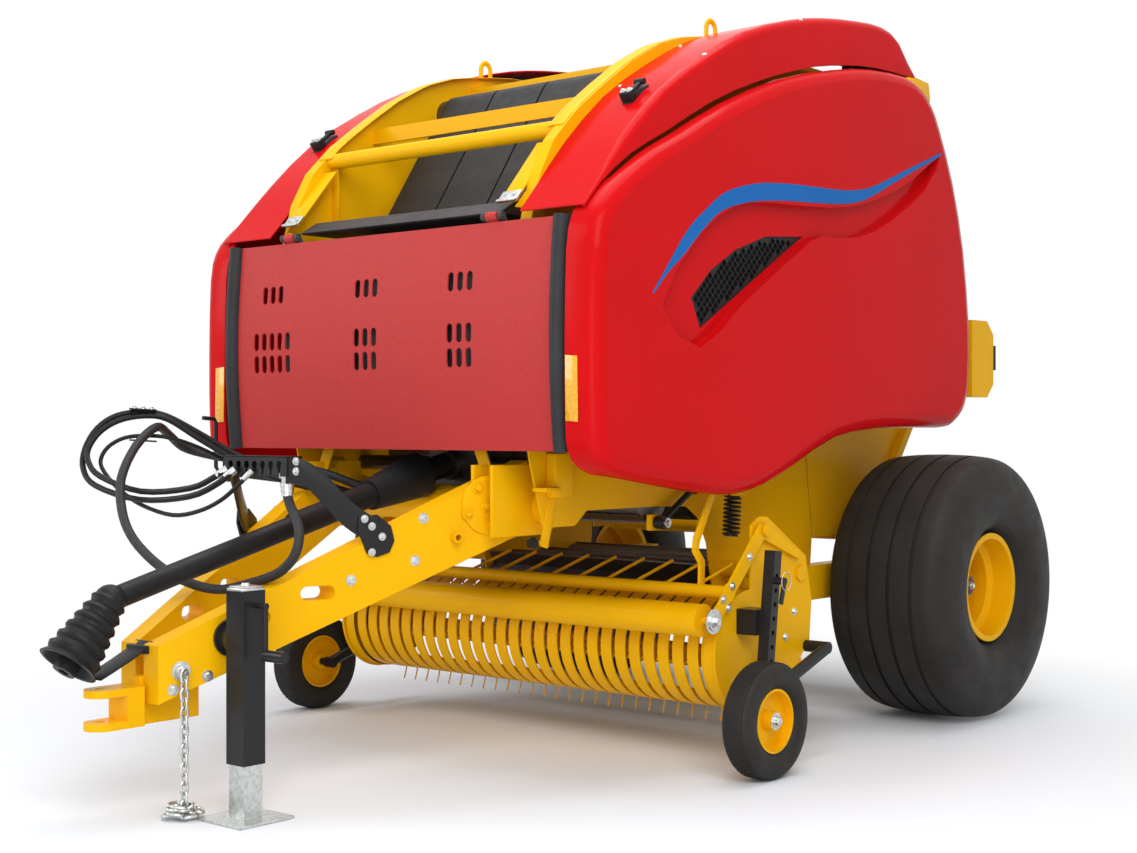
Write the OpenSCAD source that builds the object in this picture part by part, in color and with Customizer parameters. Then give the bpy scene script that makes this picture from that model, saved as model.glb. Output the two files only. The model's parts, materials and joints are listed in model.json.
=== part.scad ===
// Round baler: a pulled machine with a belt chamber, a pickup with bands, side shields
// and a tailgate. Millimetres. The front faces -Y, +X is the machine's left side,
// the ground is Z = 0. Every piece is drawn about the wheel axle's line (Y = 0) and
// moved by axle_y, so that the whole stands centred over the origin.

/* [Overall] */
// From the wheel axle forward to the boot of the drive shaft
front_reach = 3660; // [3560:10:3760]
// From the wheel axle back to the tail lamps
rear_reach = 610; // [580:10:700]

/* [Main wheels] */
// Outside diameter of a main tyre
tyre_d = 1090; // [1060:5:1110]
// Width of a main tyre
tyre_w = 545; // [500:5:550]
// Gap between the frame's rail and a main tyre
wheel_gap = 27.5; // [20:0.5:50]
// Diameter of the main rim over its flanges
rim_d = 446; // [420:2:470]

/* [Gauge wheels] */
// Outside diameter of a gauge tyre
gauge_d = 400; // [380:5:410]
// Width of a gauge tyre
gauge_w = 110; // [90:2:120]
// Distance between the middles of the gauge tyres
gauge_track = 2322; // [2310:2:2360]

/* [Bale chamber] */
// Diameter of the bale chamber
chamber_d = 1860; // [1800:10:1880]
// Width between the chamber's side walls
chamber_w = 1180; // [1160:4:1184]
// Chamber's middle ahead of the wheel axle
chamber_ahead = 700; // [690:5:710]
// Height of the chamber's middle
chamber_z = 1600; // [1590:5:1610]
// Number of belts side by side
belt_count = 4; // [3:1:6]
// Thickness of a side wall
wall_t = 8; // [6:1:10]

/* [Side shields] */
// Length of a side shield
shield_len = 2541; // [2480:1:2560]
// Height of a side shield
shield_h = 1670; // [1640:1:1680]
// Outer face of a side shield, from the middle of the machine
shield_x = 1000; // [990:2:1020]
// Rounding of a side shield's edge
shield_round = 52; // [40:2:60]

/* [Shoulders] */
// Length of a fixed shoulder
shoulder_len = 2166; // [2140:2:2180]
// Height of a fixed shoulder
shoulder_h = 945; // [935:1:950]
// Outer edge of a shoulder, from the middle of the machine
shoulder_x = 920; // [910:2:924]

/* [Front panel] */
// Width of the front panel
panel_w = 1600; // [1560:10:1604]
// Height of the front panel
panel_h = 770; // [740:5:780]

/* [Tongue] */
// Distance between the tongue beams' outer faces at the back
tongue_spread = 1010; // [960:10:1040]
// Height of the drawbar's jaw
hitch_z = 347; // [335:1:360]

/* [Pickup] */
// Radius of the bands
band_r = 210; // [204:1:212]
// Distance from band to band
band_pitch = 66; // [64:1:70]
// Number of bands
band_count = 27; // [21:2:27]
// Height of the bands' middle
drum_z = 400; // [395:1:410]
// Radius of the tines' tips
tine_r = 225; // [215:1:228]

/* [Jack] */
// Width of the jack's outer tube
jack_w = 84; // [76:2:90]

/* [Hidden] */
$fn = 48;
axle_y = (front_reach - rear_reach) / 2;
gap = 0.3;
sheet = 6;
thin = 1;
tyre_r = tyre_d / 2;
wheel_z = tyre_r;
wall_in = chamber_w / 2;
wall_out = wall_in + wall_t;
rail_w = 80;
wheel_x = wall_out + rail_w + wheel_gap + tyre_w / 2;

// main tyre section: half width share, height share from rim to tread
tyre_shares = [[0.715, 0], [0.72, 0.065], [0.90, 0.16], [0.985, 0.34], [1, 0.5], [0.975, 0.68], [0.91, 0.84],
    [0.82, 0.925], [0.70, 0.965], [0.40, 0.99], [0, 1]];
tyre_wall = 34;
groove_w = 16;
groove_deep = 14;
groove_shares = [-0.52, -0.17, 0.17, 0.52];
rim_r = rim_d / 2;
rim_t = 8;
rim_lip = 16;
rim_seat = rim_r - rim_lip;
rim_drop = 26;
rim_well = rim_seat - rim_drop;
rim_w_share = 0.80;
rim_half = tyre_w / 2 * rim_w_share;
well_share = 0.55;
disc_share = -0.30;
disc_t = 14;
hub_r = 70;
hub_len = 150;
hub_cap_r = 58;
hub_cap_h = 30;
spindle_r = 34;
wheel_bolts = 8;
bolt_ring_share = 0.66;
bolt_r = 14;
bolt_h = 18;

// frame
rail_low = 500;
rail_high = 640;
rail_front = -1035;
rail_back = 90;
axle_sec = 100;
tube_y = -2020;
tube_z = 930;
tube_r = 65;
tube_over = 30;
top_tube_y = -2009;
top_tube_z = 2240;
top_tube_r = 30;
top_rail_y = -1795;
top_rail_z = 2335;
top_rail_h = 60;
top_rail_t = 12;
crown_y = -1230;
crown_z = 2640;
crown_h = 70;
crown_t = 60;
floor_beam_y = -800;
floor_beam_low = 396;
floor_beam_h = 64;
floor_beam_w = 90;
bar_w = 42;
bar_deep = 58;
wall_y0 = -2290;
wall_len = 1870;
wall_z0 = 500;
wall_h = 2224;
wall_shares = [[0.059, 0.265], [0.015, 0.450], [0.035, 0.625], [0.060, 0.700], [0.099, 0.758], [0.165, 0.812],
    [0.242, 0.860], [0.325, 0.908], [0.411, 0.947], [0.492, 0.970], [0.577, 0.984], [0.690, 0.996],
    [0.797, 1.000], [0.813, 0.985], [0.850, 0.926], [1.000, 0.117], [0.989, 0.027], [0.893, 0.000],
    [0.690, 0.000], [0.626, 0.027], [0.604, 0.117], [0.575, 0.162], [0.535, 0.182], [0.433, 0.185],
    [0.219, 0.185], [0.184, 0.162], [0.096, 0.162]];
bar_shares = [[0, 0.60], [0.775, 0.60], [0.775, 1], [0, 1]];

// tailgate
gate_pivot_y = -750;
gate_pivot_z = 2600;
gate_pin_r = 24;
gate_head_r = 36;
gate_head_t = 8;
gate_boss_r = 70;
lug_gap = 8;
lug_t = 15;
gate_y0 = -690;
gate_len = 1140;
gate_z0 = 745;
gate_h = 1955;
gate_shares = [[0.114, 1.000], [0.763, 1.000], [0.860, 0.988], [0.956, 0.949], [1.000, 0.887],
    [1.000, 0.284], [0.658, 0.028], [0.553, 0.000], [0.251, 0.000], [0.025, 0.847]];
lug_shares = [[0.010, 0.880], [0.114, 0.985], [0.330, 0.985], [0.330, 0.800], [0.055, 0.800]];
gate_bar_w = 30;
gate_bar_deep = 40;
gate_tube_r = 28;
gate_tube_shares = [[0.943, 0.928], [0.945, 0.275], [0.402, 0.0056]];
lamp_y = 390;
lamp_z0 = 1337;
lamp_h = 340;
lamp_x0 = 850;
lamp_w = 60;
lamp_cut = 60;
lamp_arm = 40;
lamp_lens_t = 16;
lamp_lens_w = 46;
lamp_lens_h = 90;
lamp_lens_z = 1560;

// belts and rolls
belt_t = 8;
belt_w = 262;
belt_gap = 10;
roller_r = 70;
front_roller_shares = [[1.2033, 126.46], [1.2427, 170.54]];
gate_roller_shares = [[1.4203, 41.78], [1.1243, 350.09], [1.0861, 311.63]];
front_rollers = [for (p = front_roller_shares) roller_at(p)];
gate_rollers = [for (p = gate_roller_shares) roller_at(p)];
front_arc = [118, 188];
gate_arc = [-52, 70];
arc_steps = 14;
belt_fn = 24;
roll_r = 95;
roll_angles = [196, 207.5, 219, 266, 279];
roll_rib = 7;
roll_ribs = 8;
rotor_y = -1060;
rotor_z = 560;
rotor_r = 130;
rotor_core_r = 70;
rotor_fins = 6;
rotor_fin_t = 10;
rotor_shaft_r = 24;

// shoulders
shoulder_y0 = -2300;
shoulder_z0 = 1890;
upper_shares = [[0.010, 0.040], [0.049, 0.138], [0.112, 0.301], [0.210, 0.503], [0.323, 0.665],
    [0.442, 0.802], [0.580, 0.903], [0.687, 0.956], [0.801, 0.990], [0.887, 1.000], [0.943, 0.963],
    [1.000, 0.828]];
lower_shares = [[0.011, 0.028], [0.050, 0.121], [0.122, 0.241], [0.218, 0.353], [0.335, 0.493],
    [0.462, 0.610], [0.600, 0.709], [0.702, 0.760], [0.813, 0.798], [0.891, 0.808], [0.946, 0.812],
    [0.997, 0.813]];
shoulder_round = 36;
shoulder_round_share = 0.8;
shoulder_in = wall_out + bar_w + gap;

// side shields
shield_y0 = -2316;
shield_z0 = 966;
shield_shares = [[0.006, 0.098], [0.001, 0.152], [0.000, 0.320], [0.003, 0.487], [0.013, 0.553], [0.034, 0.595],
    [0.065, 0.634], [0.127, 0.695], [0.192, 0.744], [0.303, 0.829], [0.445, 0.913], [0.584, 0.966],
    [0.691, 0.993], [0.782, 0.999], [0.831, 0.986], [0.868, 0.949], [0.896, 0.895], [0.943, 0.763],
    [0.980, 0.595], [1.000, 0.404], [0.999, 0.272], [0.992, 0.218], [0.974, 0.175], [0.945, 0.149],
    [0.904, 0.141], [0.715, 0.140], [0.577, 0.116], [0.467, 0.056], [0.388, 0.016], [0.321, 0.000],
    [0.238, 0.008], [0.109, 0.035], [0.050, 0.050], [0.022, 0.068]];
recess_shares = [[0.136, 0.386], [0.220, 0.305], [0.321, 0.404], [0.498, 0.559], [0.547, 0.572],
    [0.633, 0.585], [0.723, 0.632], [0.835, 0.726], [0.885, 0.819], [0.786, 0.738], [0.663, 0.671],
    [0.547, 0.640], [0.388, 0.628], [0.301, 0.608], [0.220, 0.537]];
mesh_shares = [[0.222, 0.410], [0.242, 0.347], [0.360, 0.450], [0.498, 0.570], [0.400, 0.558],
    [0.325, 0.520], [0.266, 0.470]];
recess_deep = 42;
shield_depth = 76;
shield_front_depth = 132;
shield_front_share = 0.06;
crown_shares = [0.5, 0.134];
mesh_t = 5;
mesh_pitch = 34;
mesh_bar = 5;
hinge_x = shield_x - shield_round;
hinge_drop = 6;
hinge_z = shield_z0 + shield_h - shield_round - hinge_drop;
hinge_pin_r = 10;
hinge_shares = [0.70, 0.80];
hinge_ys = [for (h = hinge_shares) shield_y0 + shield_len * h];
hinge_len = 60;
hinge_eye_r = 20;
hinge_arm_t = 16;
hinge_arm_w = 30;
hinge_arm_off = 72;
hinge_neck = 18;
hinge_dip = 48;
hinge_fall = 62;
hinge_base = 105;
hinge_toe = 80;

// front panel
panel_z0 = 1125;
panel_y = -2306;
panel_bulge = 22;
panel_fold = 24;
panel_hinge_up = 20;
panel_hinge_y = panel_y + panel_bulge + sheet / 2;
panel_hinge_z = panel_z0 + panel_h + panel_hinge_up;
panel_pin_r = 8;
panel_pin_in = 70;
panel_pin_x = wall_in - panel_pin_in;
panel_eye_r = 16;
panel_eye_w = 50;
panel_lug_w = 16;
panel_lug_gap = 6;
panel_lug_r = 14;
panel_lug_d = 48;
slot_w = 28;
slot_h = 66;
slot_pitch = 45;
slot_rows = [[1703, 3, 3, 3], [1527, 5, 3, 3], [1442, 5, 3, 3]];
slot_xs = [-600, -86, 383];
seal_w = 56;
seal_t = 30;
box_front = -2262;
box_back = -1960;
box_low = 1140;
box_high = 1830;

// tongue and hitch
beam_front_y = -3330;
beam_front_x = 58;
beam_front_low = 352;
beam_front_h = 180;
beam_back_y = -2090;
beam_back_low = 845;
beam_back_h = 245;
beam_w = 74;
beam_back_x = tongue_spread / 2 - beam_w / 2;
slot_y = -3040;
slot_z = 600;
slot_len = 70;
slot_r = 22;
clamp_t = 14;
clamp_len = 260;
jaw_w = 100;
jaw_t = 24;
jaw_gap = 76;
jaw_tip = -3526;
jaw_root = -3408;
jaw_back = -3346;
jaw_pin_r = 16;
jaw_pin_y = -3472;
shank_w = 2 * beam_front_x - beam_w - 2 * gap;
shank_back = -3120;
shank_h = 150;

// drive shaft
droop = 51;
boot_len = 235;
boot_r = 95;
boot_rib = 6;
boot_ribs = 6;
boot_deep = 60;
quarter_share = 0.25;
neck_r = 50;
yoke_r = 36;
yoke_len = 60;
yoke_out = 24;
spline_r = 17.5;
joint_y = boot_len * cos(droop) + boot_r * sin(droop) - front_reach;
joint_z = 675;
gear_y = -1985;
gear_z = 1067;
guard_r = 36;
guard_in_r = 44;
guard_share = 0.5;
bell_len = 250;
bell_back = 140;
bell_r = 84;
gear_w = 240;
gear_l = 200;
gear_h = 260;
gear_neck_r = 60;
gear_neck = 80;
gear_shaft_r = 28;

// jack
jack_x = 288;
jack_y = -3146;
jack_top = 705;
jack_low = 170;
jack_t = 6;
leg_w = jack_w - 2 * jack_t - 2 * gap;
leg_top = 560;
foot_w = 210;
foot_t = 8;
mount_z = 545;
mount_r = 46;
jack_cap = 14;
crank_r = 9;
crank_len = 150;
crank_z = 660;
crank_out = 60;

// hose holder
holder_x0 = -138;
holder_w = 330;
holder_y = -2900;
holder_d = 64;
holder_z = 1045;
holder_h = 66;
holder_t = 5;
holder_slots = 6;
holder_slot_w = 16;
holder_slot_share = 0.72;
arm_foot_y = -2600;
arm_foot_len = 120;
arm_h = 90;
arm_t = 10;
arm_inset = 14;
arm_shares = [[0.30, 0.26], [0.55, 0.62], [0.80, 0.93]];

// chain
link_r = 4.5;
link_in = 38;
link_half = 12;
chain_x = 146;
chain_pin_r = 6;
chain_pin_over = 16;
chain_y = -3270;
chain_top = 440;
chain_hang = 15;
chain_lie = 9;

// pickup
drum_y = -1400;
band_t = 6;
band_gap = 18;
band_w = band_pitch - band_gap;
band_top = 150;
band_low = 215;
band_bar = 18;
band_bar_t = 12;
band_low_t = 10;
reel_dy = 20;
reel_dz = -45;
reel_shaft_r = 20;
reel_bars = 4;
reel_bar_ring = 128;
reel_bar_r = 13;
reel_disc_r = 150;
reel_disc_t = 6;
reel_disc_x = 900;
tine_wire = 3;
tine_sides = 6;
tine_bend = 18;
tine_knee_share = 0.55;
plate_x = 955;
plate_t = 10;
plate_r = 222;
plate_y0 = -1790;
plate_len = 790;
plate_z0 = 250;
plate_h = 640;
plate_pts_shares = [[0.494, 0.540], [0.500, 0.940], [0.560, 0.985], [0.620, 0.985], [0.949, 0.740],
    [1.000, 0.484], [0.981, 0.234], [0.835, 0.078], [0.494, -0.070]];
pick_pivot_y = -1080;
pick_pivot_z = 660;
pick_pin_r = 30;
pick_tube_y = -1085;
pick_tube_z = 330;
pick_tube_r = 30;
guard_pivot_y = -1345;
guard_pivot_z = 832;
guard_pin_r = 12;
guard_head_r = 20;
guard_arm_x = 975;
guard_arm_t = 10;
guard_arm_h = 46;
guard_tail_y = -1120;
guard_tail_z = 740;
wind_y = -1660;
wind_z = 530;
wind_r = 58;
wind_len = 1890;
wind_pin_r = 12;
wind_tube_y = -1560;
wind_tube_z = 622;
wind_tube_r = 24;
rod_r = 6;
rod_count = 13;
rod_pitch = 138;
rod_tip_y = -1320;
rod_tip_z = 700;

// gauge wheels
gauge_y = -1598;
gauge_z = gauge_d / 2;
gauge_x = gauge_track / 2;
gauge_rim_r = 110;
gauge_rim_share = 0.76;
gauge_hub_r = 34;
gauge_pin_r = 14;
gauge_disc_t = 10;
gauge_arm_x = 1066;
gauge_arm_r = 22;
gauge_end_y = -1060;
gauge_end_z = 385;
post_w = 44;
post_y = -1470;
post_low = 262;
post_top = 770;
post_lean = 7;
post_holes = 7;
post_hole_r = 9;
post_hole_low = 380;
post_hole_pitch = 50;
post_clamp_z = 470;
post_clamp_h = 90;

yellow = [0.93, 0.66, 0.05];
red = [0.70, 0.04, 0.05];
black = [0.05, 0.05, 0.055];
steel = [0.62, 0.62, 0.60];
dark = [0.16, 0.16, 0.17];
lens = [0.75, 0.05, 0.04];

// a table of shares stretched over a length and a height
function spread(t, y0, len, z0, h) = [for (p = t) [y0 + p[0] * len, z0 + p[1] * h]];

// a smooth closed line through points, n pieces to a span
function smooth(p, n) = let (c = len(p)) [for (i = [0:c - 1]) for (k = [0:n - 1])
    let (t = k / n, a = p[(i + c - 1) % c], b = p[i], d = p[(i + 1) % c], e = p[(i + 2) % c])
    0.5 * (2 * b + (d - a) * t + (2 * a - 5 * b + 4 * d - e) * t * t
        + (3 * b - a - 3 * d + e) * t * t * t)];

// the same for an open line
function flow(p, n) = let (c = len(p)) concat([for (i = [0:c - 2]) for (k = [0:n - 1])
    let (t = k / n, a = p[max(i - 1, 0)], b = p[i], d = p[i + 1], e = p[min(i + 2, c - 1)])
    0.5 * (2 * b + (d - a) * t + (2 * a - 5 * b + 4 * d - e) * t * t
        + (3 * b - a - 3 * d + e) * t * t * t)], [p[c - 1]]);

function arc(y, z, r, a, b, n) = [for (i = [0:n]) let (g = a + (b - a) * i / n)
    [y + r * cos(g), z + r * sin(g)]];

// inward direction at point i of a closed line that runs clockwise
function inward(p, i) = let (c = len(p), d = p[(i + 1) % c] - p[(i + c - 1) % c])
    [d[1], -d[0]] / norm(d);

// place of a belt roller: share of the chamber's radius, and angle
function roller_at(p) = [-chamber_ahead, chamber_z] + chamber_d / 2 * p[0] * [cos(p[1]), sin(p[1])];

function turned(p) = [for (i = [len(p) - 1:-1:0]) p[i]];

module place() { translate([0, axle_y, 0]) children(); }

module side(s) {
    if (s > 0) children();
    else mirror([1, 0, 0]) children();
}

// an outline in Y and Z, drawn out along X from x by t
module slab(x, t) {
    translate([x, 0, 0]) rotate([90, 0, 90]) linear_extrude(height = t) children();
}

// an outline in X and Z, drawn out along Y, t long about y
module across(y, t) {
    translate([0, y + t / 2, 0]) rotate([90, 0, 0]) linear_extrude(height = t) children();
}

module rod_x(x, y, z, r, l) {
    translate([x, y, z]) rotate([0, 90, 0]) cylinder(r = r, h = l);
}

module block(a, b) {
    translate(a) cube(b - a);
}

// a round bar between two points
module bar(a, b, r) {
    d = b - a;
    translate(a) rotate([0, acos(d[2] / norm(d)), atan2(d[1], d[0])]) cylinder(r = r, h = norm(d));
}

// a sheet between two grids of points
module shell(f, g) {
    n = len(f);
    m = len(f[0]);
    q = n * m;
    function at(i, j) = i * m + j;
    quads = concat(
        [for (i = [0:n - 2]) for (j = [0:m - 2]) [at(i, j), at(i + 1, j), at(i + 1, j + 1), at(i, j + 1)]],
        [for (i = [0:n - 2]) for (j = [0:m - 2])
            [q + at(i, j), q + at(i, j + 1), q + at(i + 1, j + 1), q + at(i + 1, j)]],
        [for (i = [0:n - 2]) [at(i, 0), q + at(i, 0), q + at(i + 1, 0), at(i + 1, 0)]],
        [for (i = [0:n - 2]) [at(i, m - 1), at(i + 1, m - 1), q + at(i + 1, m - 1), q + at(i, m - 1)]],
        [for (j = [0:m - 2]) [at(0, j), at(0, j + 1), q + at(0, j + 1), q + at(0, j)]],
        [for (j = [0:m - 2]) [at(n - 1, j), q + at(n - 1, j), q + at(n - 1, j + 1), at(n - 1, j + 1)]]);
    tris = [for (k = quads) for (t = [[k[0], k[1], k[2]], [k[0], k[2], k[3]]]) t];
    polyhedron(points = concat([for (r = f) each r], [for (r = g) each r]), faces = tris);
}

// a closed section carried round a closed line: rows of points, one row to each place
module hoop(rows) {
    n = len(rows);
    m = len(rows[0]);
    function at(i, j) = (i % n) * m + (j % m);
    tris = [for (i = [0:n - 1]) for (j = [0:m - 1])
        for (t = [[at(i, j), at(i, j + 1), at(i + 1, j + 1)], [at(i, j), at(i + 1, j + 1), at(i + 1, j)]]) t];
    polyhedron(points = [for (r = rows) each r], faces = tris);
}

// main wheels

function tyre_line(cut) = [for (p = tyre_shares)
    [rim_seat + gap + p[1] * (tyre_r - rim_seat - gap - cut), p[0] * (tyre_w / 2 - cut)]];

module tyre_section() {
    o = flow(tyre_line(0), 3);
    i = flow(tyre_line(tyre_wall), 3);
    difference() {
        polygon(concat(o, [for (k = [len(o) - 2:-1:0]) [o[k][0], -o[k][1]]]));
        polygon(concat(i, [for (k = [len(i) - 2:-1:0]) [i[k][0], -i[k][1]]]));
        for (s = groove_shares)
            translate([tyre_r - groove_deep, s * tyre_w / 2 - groove_w / 2]) square([tyre_w, groove_w]);
    }
}

module tyre() {
    color(black) translate([wheel_x, 0, wheel_z]) rotate([0, 90, 0]) rotate_extrude() tyre_section();
}

module rim() {
    w = rim_half;
    e = rim_half * well_share;
    d = rim_half * disc_share;
    color(yellow) translate([wheel_x, 0, wheel_z]) rotate([0, 90, 0]) difference() {
        union() {
            rotate_extrude() polygon([[rim_r, w], [rim_r, w - rim_t], [rim_seat, w - rim_lip],
                [rim_seat, e], [rim_well, e - rim_lip], [rim_well, rim_lip - e], [rim_seat, -e],
                [rim_seat, rim_lip - w], [rim_r, rim_t - w], [rim_r, -w], [rim_seat - rim_t, -w],
                [rim_seat - rim_t, -e - rim_t], [rim_well - rim_t, -e + rim_lip - rim_t],
                [rim_well - rim_t, e - rim_lip + rim_t], [rim_seat - rim_t, e + rim_t],
                [rim_seat - rim_t, w]]);
            translate([0, 0, d]) cylinder(r = rim_well - rim_t / 2, h = disc_t);
            translate([0, 0, d + disc_t / 2 - hub_len / 2]) cylinder(r = hub_r, h = hub_len);
            for (k = [0:wheel_bolts - 1]) rotate([0, 0, k * 360 / wheel_bolts])
                translate([rim_well * bolt_ring_share, 0, d]) cylinder(r = bolt_r, h = disc_t + bolt_h);
        }
        translate([0, 0, -tyre_w]) cylinder(r = spindle_r + gap, h = tyre_w + d + hub_len / 2 - rim_lip);
    }
}

// frame

function wall_line() = spread(wall_shares, wall_y0, wall_len, wall_z0, wall_h);

module wall() {
    color(yellow) {
        slab(wall_in, wall_t) difference() {
            polygon(wall_line());
            translate([rotor_y, rotor_z]) circle(r = rotor_shaft_r + gap);
        }
        slab(wall_out, bar_w) intersection() {
            difference() {
                polygon(wall_line());
                offset(delta = -bar_deep) polygon(wall_line());
            }
            polygon(spread(bar_shares, wall_y0, wall_len, wall_z0, wall_h));
        }
        rod_x(wall_out, gate_pivot_y, gate_pivot_z, gate_pin_r, lug_gap + lug_t + gate_head_t);
        rod_x(wall_out + lug_gap + lug_t + thin * 2, gate_pivot_y, gate_pivot_z, gate_head_r, gate_head_t);
        rod_x(wall_out, pick_pivot_y, pick_pivot_z, pick_pin_r, plate_x + plate_t * 2 - wall_out);
    }
}

module crossmembers() {
    l = chamber_w;
    color(yellow) {
        difference() {
            rod_x(-wall_in, tube_y, tube_z, tube_r, l);
            rod_x(-wall_in - tube_over, tube_y, tube_z, tube_r - wall_t, l + 2 * tube_over);
        }
        rod_x(-wall_in, top_tube_y, top_tube_z, top_tube_r, l);
        block([-wall_in, top_rail_y, top_rail_z], [wall_in, top_rail_y + top_rail_t, top_rail_z + top_rail_h]);
        block([-wall_in, crown_y, crown_z - crown_h], [wall_in, crown_y + crown_t, crown_z]);
        block([-wall_out - rail_w, floor_beam_y, floor_beam_low],
            [wall_out + rail_w, floor_beam_y + floor_beam_w, floor_beam_low + floor_beam_h]);
        for (s = [1, -1]) side(s) {
            block([wall_out, rail_front, rail_low], [wall_out + rail_w, rail_back, rail_high]);
            block([wall_out, floor_beam_y, floor_beam_low], [wall_out + rail_w, floor_beam_y + floor_beam_w, rail_low]);
        }
    }
}

function spindle_end() = wheel_x + rim_half * disc_share + hub_len / 2 - rim_lip - gap;

module axle() {
    h = axle_sec / 2;
    color(yellow) {
        block([-wall_out, -h, wheel_z - h], [wall_out, h, wheel_z + h]);
        for (s = [1, -1]) side(s) {
            rod_x(wall_out + rail_w, 0, wheel_z, spindle_r, spindle_end() - wall_out - rail_w);
            rod_x(wall_out + rail_w, 0, wheel_z, hub_r, wall_t);
        }
    }
}

// tongue

module tongue() {
    w = beam_w / 2;
    color(yellow) {
        difference() {
            hull() {
                block([beam_front_x - w, beam_front_y, beam_front_low],
                    [beam_front_x + w, beam_front_y + thin, beam_front_low + beam_front_h]);
                block([beam_back_x - w, beam_back_y - thin, beam_back_low],
                    [beam_back_x + w, beam_back_y, beam_back_low + beam_back_h]);
            }
            for (k = [0, 1]) translate([0, slot_y + k * slot_len * 3, slot_z + k * slot_len])
                rotate([0, 90, 0]) {
                    for (e = [-1, 1]) translate([0, e * slot_len / 2, 0])
                        cylinder(r = slot_r, h = tongue_spread / 2);
                    translate([-slot_r, -slot_len / 2, 0]) cube([2 * slot_r, slot_len, tongue_spread / 2]);
                }
        }
        for (x = [beam_back_x - w - clamp_t - gap, beam_back_x + w + gap]) slab(x, clamp_t) difference() {
            union() {
                translate([tube_y, tube_z]) circle(r = tube_r + clamp_t * 2);
                translate([tube_y - clamp_len, beam_back_low - clamp_t]) square([clamp_len, beam_back_h]);
            }
            translate([tube_y, tube_z]) circle(r = tube_r + gap);
        }
    }
}

module hitch() {
    color(yellow) {
        difference() {
            union() {
                for (z = [hitch_z + jaw_gap / 2, hitch_z - jaw_gap / 2 - jaw_t]) {
                    translate([0, jaw_pin_y, z]) cylinder(r = jaw_w / 2, h = jaw_t);
                    block([-jaw_w / 2, jaw_pin_y, z], [jaw_w / 2, jaw_root + thin, z + jaw_t]);
                }
                block([-jaw_w / 2, jaw_root, hitch_z - jaw_gap / 2 - jaw_t],
                    [jaw_w / 2, jaw_back, hitch_z + jaw_gap / 2 + jaw_t]);
                block([-shank_w / 2, jaw_back - thin, hitch_z - jaw_gap / 2 - jaw_t],
                    [shank_w / 2, shank_back, hitch_z - jaw_gap / 2 - jaw_t + shank_h]);
            }
            translate([0, jaw_pin_y, hitch_z - jaw_gap]) cylinder(r = jaw_pin_r, h = 2 * jaw_gap);
        }
    }
}

// direction square to a tongue beam's outer face, and the face's distance from the jack
function beam_out() = let (d = [beam_back_x - beam_front_x, beam_back_y - beam_front_y]) [d[1], -d[0]] / norm(d);
function beam_off(p) = beam_out() * (p - [beam_front_x + beam_w / 2, beam_front_y]);

module jack_body() {
    w = jack_w / 2;
    i = w - jack_t;
    reach = beam_off([jack_x, jack_y]) - gap;
    color(black) difference() {
        union() {
            block([jack_x - w, jack_y - w, jack_low], [jack_x + w, jack_y + w, jack_top]);
            translate([jack_x, jack_y, mount_z]) rotate([0, -90, atan2(beam_out()[1], beam_out()[0])]) {
                cylinder(r = mount_r, h = reach);
                translate([0, 0, reach - jack_cap]) cylinder(r = mount_r + jack_cap, h = jack_cap);
            }
            rod_x(jack_x + w - thin, jack_y, crank_z, crank_r, crank_out);
            bar([jack_x + w + crank_out - crank_r, jack_y, crank_z + crank_r],
                [jack_x + w + crank_out - crank_r, jack_y, crank_z - crank_len], crank_r);
            rod_x(jack_x + w + crank_out - crank_r, jack_y, crank_z - crank_len, crank_r * 2, crank_out * 1.5);
        }
        block([jack_x - i, jack_y - i, jack_low - thin], [jack_x + i, jack_y + i, jack_top - jack_cap]);
    }
}

module jack_leg() {
    w = leg_w / 2;
    color(steel) {
        block([jack_x - w, jack_y - w, 0], [jack_x + w, jack_y + w, leg_top]);
        block([jack_x - foot_w / 2, jack_y - foot_w / 2, 0], [jack_x + foot_w / 2, jack_y + foot_w / 2, foot_t]);
    }
}

module hose_holder() {
    b = holder_x0 + holder_w;
    color(black) {
        difference() {
            block([holder_x0, holder_y, holder_z], [b, holder_y + holder_d, holder_z + holder_h]);
            block([holder_x0 + holder_t, holder_y + holder_t, holder_z - thin],
                [b - holder_t, holder_y + holder_d - holder_t, holder_z + holder_h - holder_t]);
            for (k = [1:holder_slots])
                translate([holder_x0 + k * holder_w / (holder_slots + 1) - holder_slot_w / 2,
                    holder_y - thin, holder_z - thin])
                    cube([holder_slot_w, holder_t + 2 * thin, holder_h * holder_slot_share]);
        }
        holder_arm(1, [b, holder_y + holder_d / 2]);
        holder_arm(-1, [holder_x0, holder_y + holder_d / 2]);
    }
}

// height of a tongue beam's top, and its middle, at a place along the machine
function beam_share(y) = (y - beam_front_y) / (beam_back_y - beam_front_y);
function beam_top(y) = beam_front_low + beam_front_h
    + (beam_back_low + beam_back_h - beam_front_low - beam_front_h) * beam_share(y);
function beam_mid(y) = beam_front_x + (beam_back_x - beam_front_x) * beam_share(y);

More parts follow.
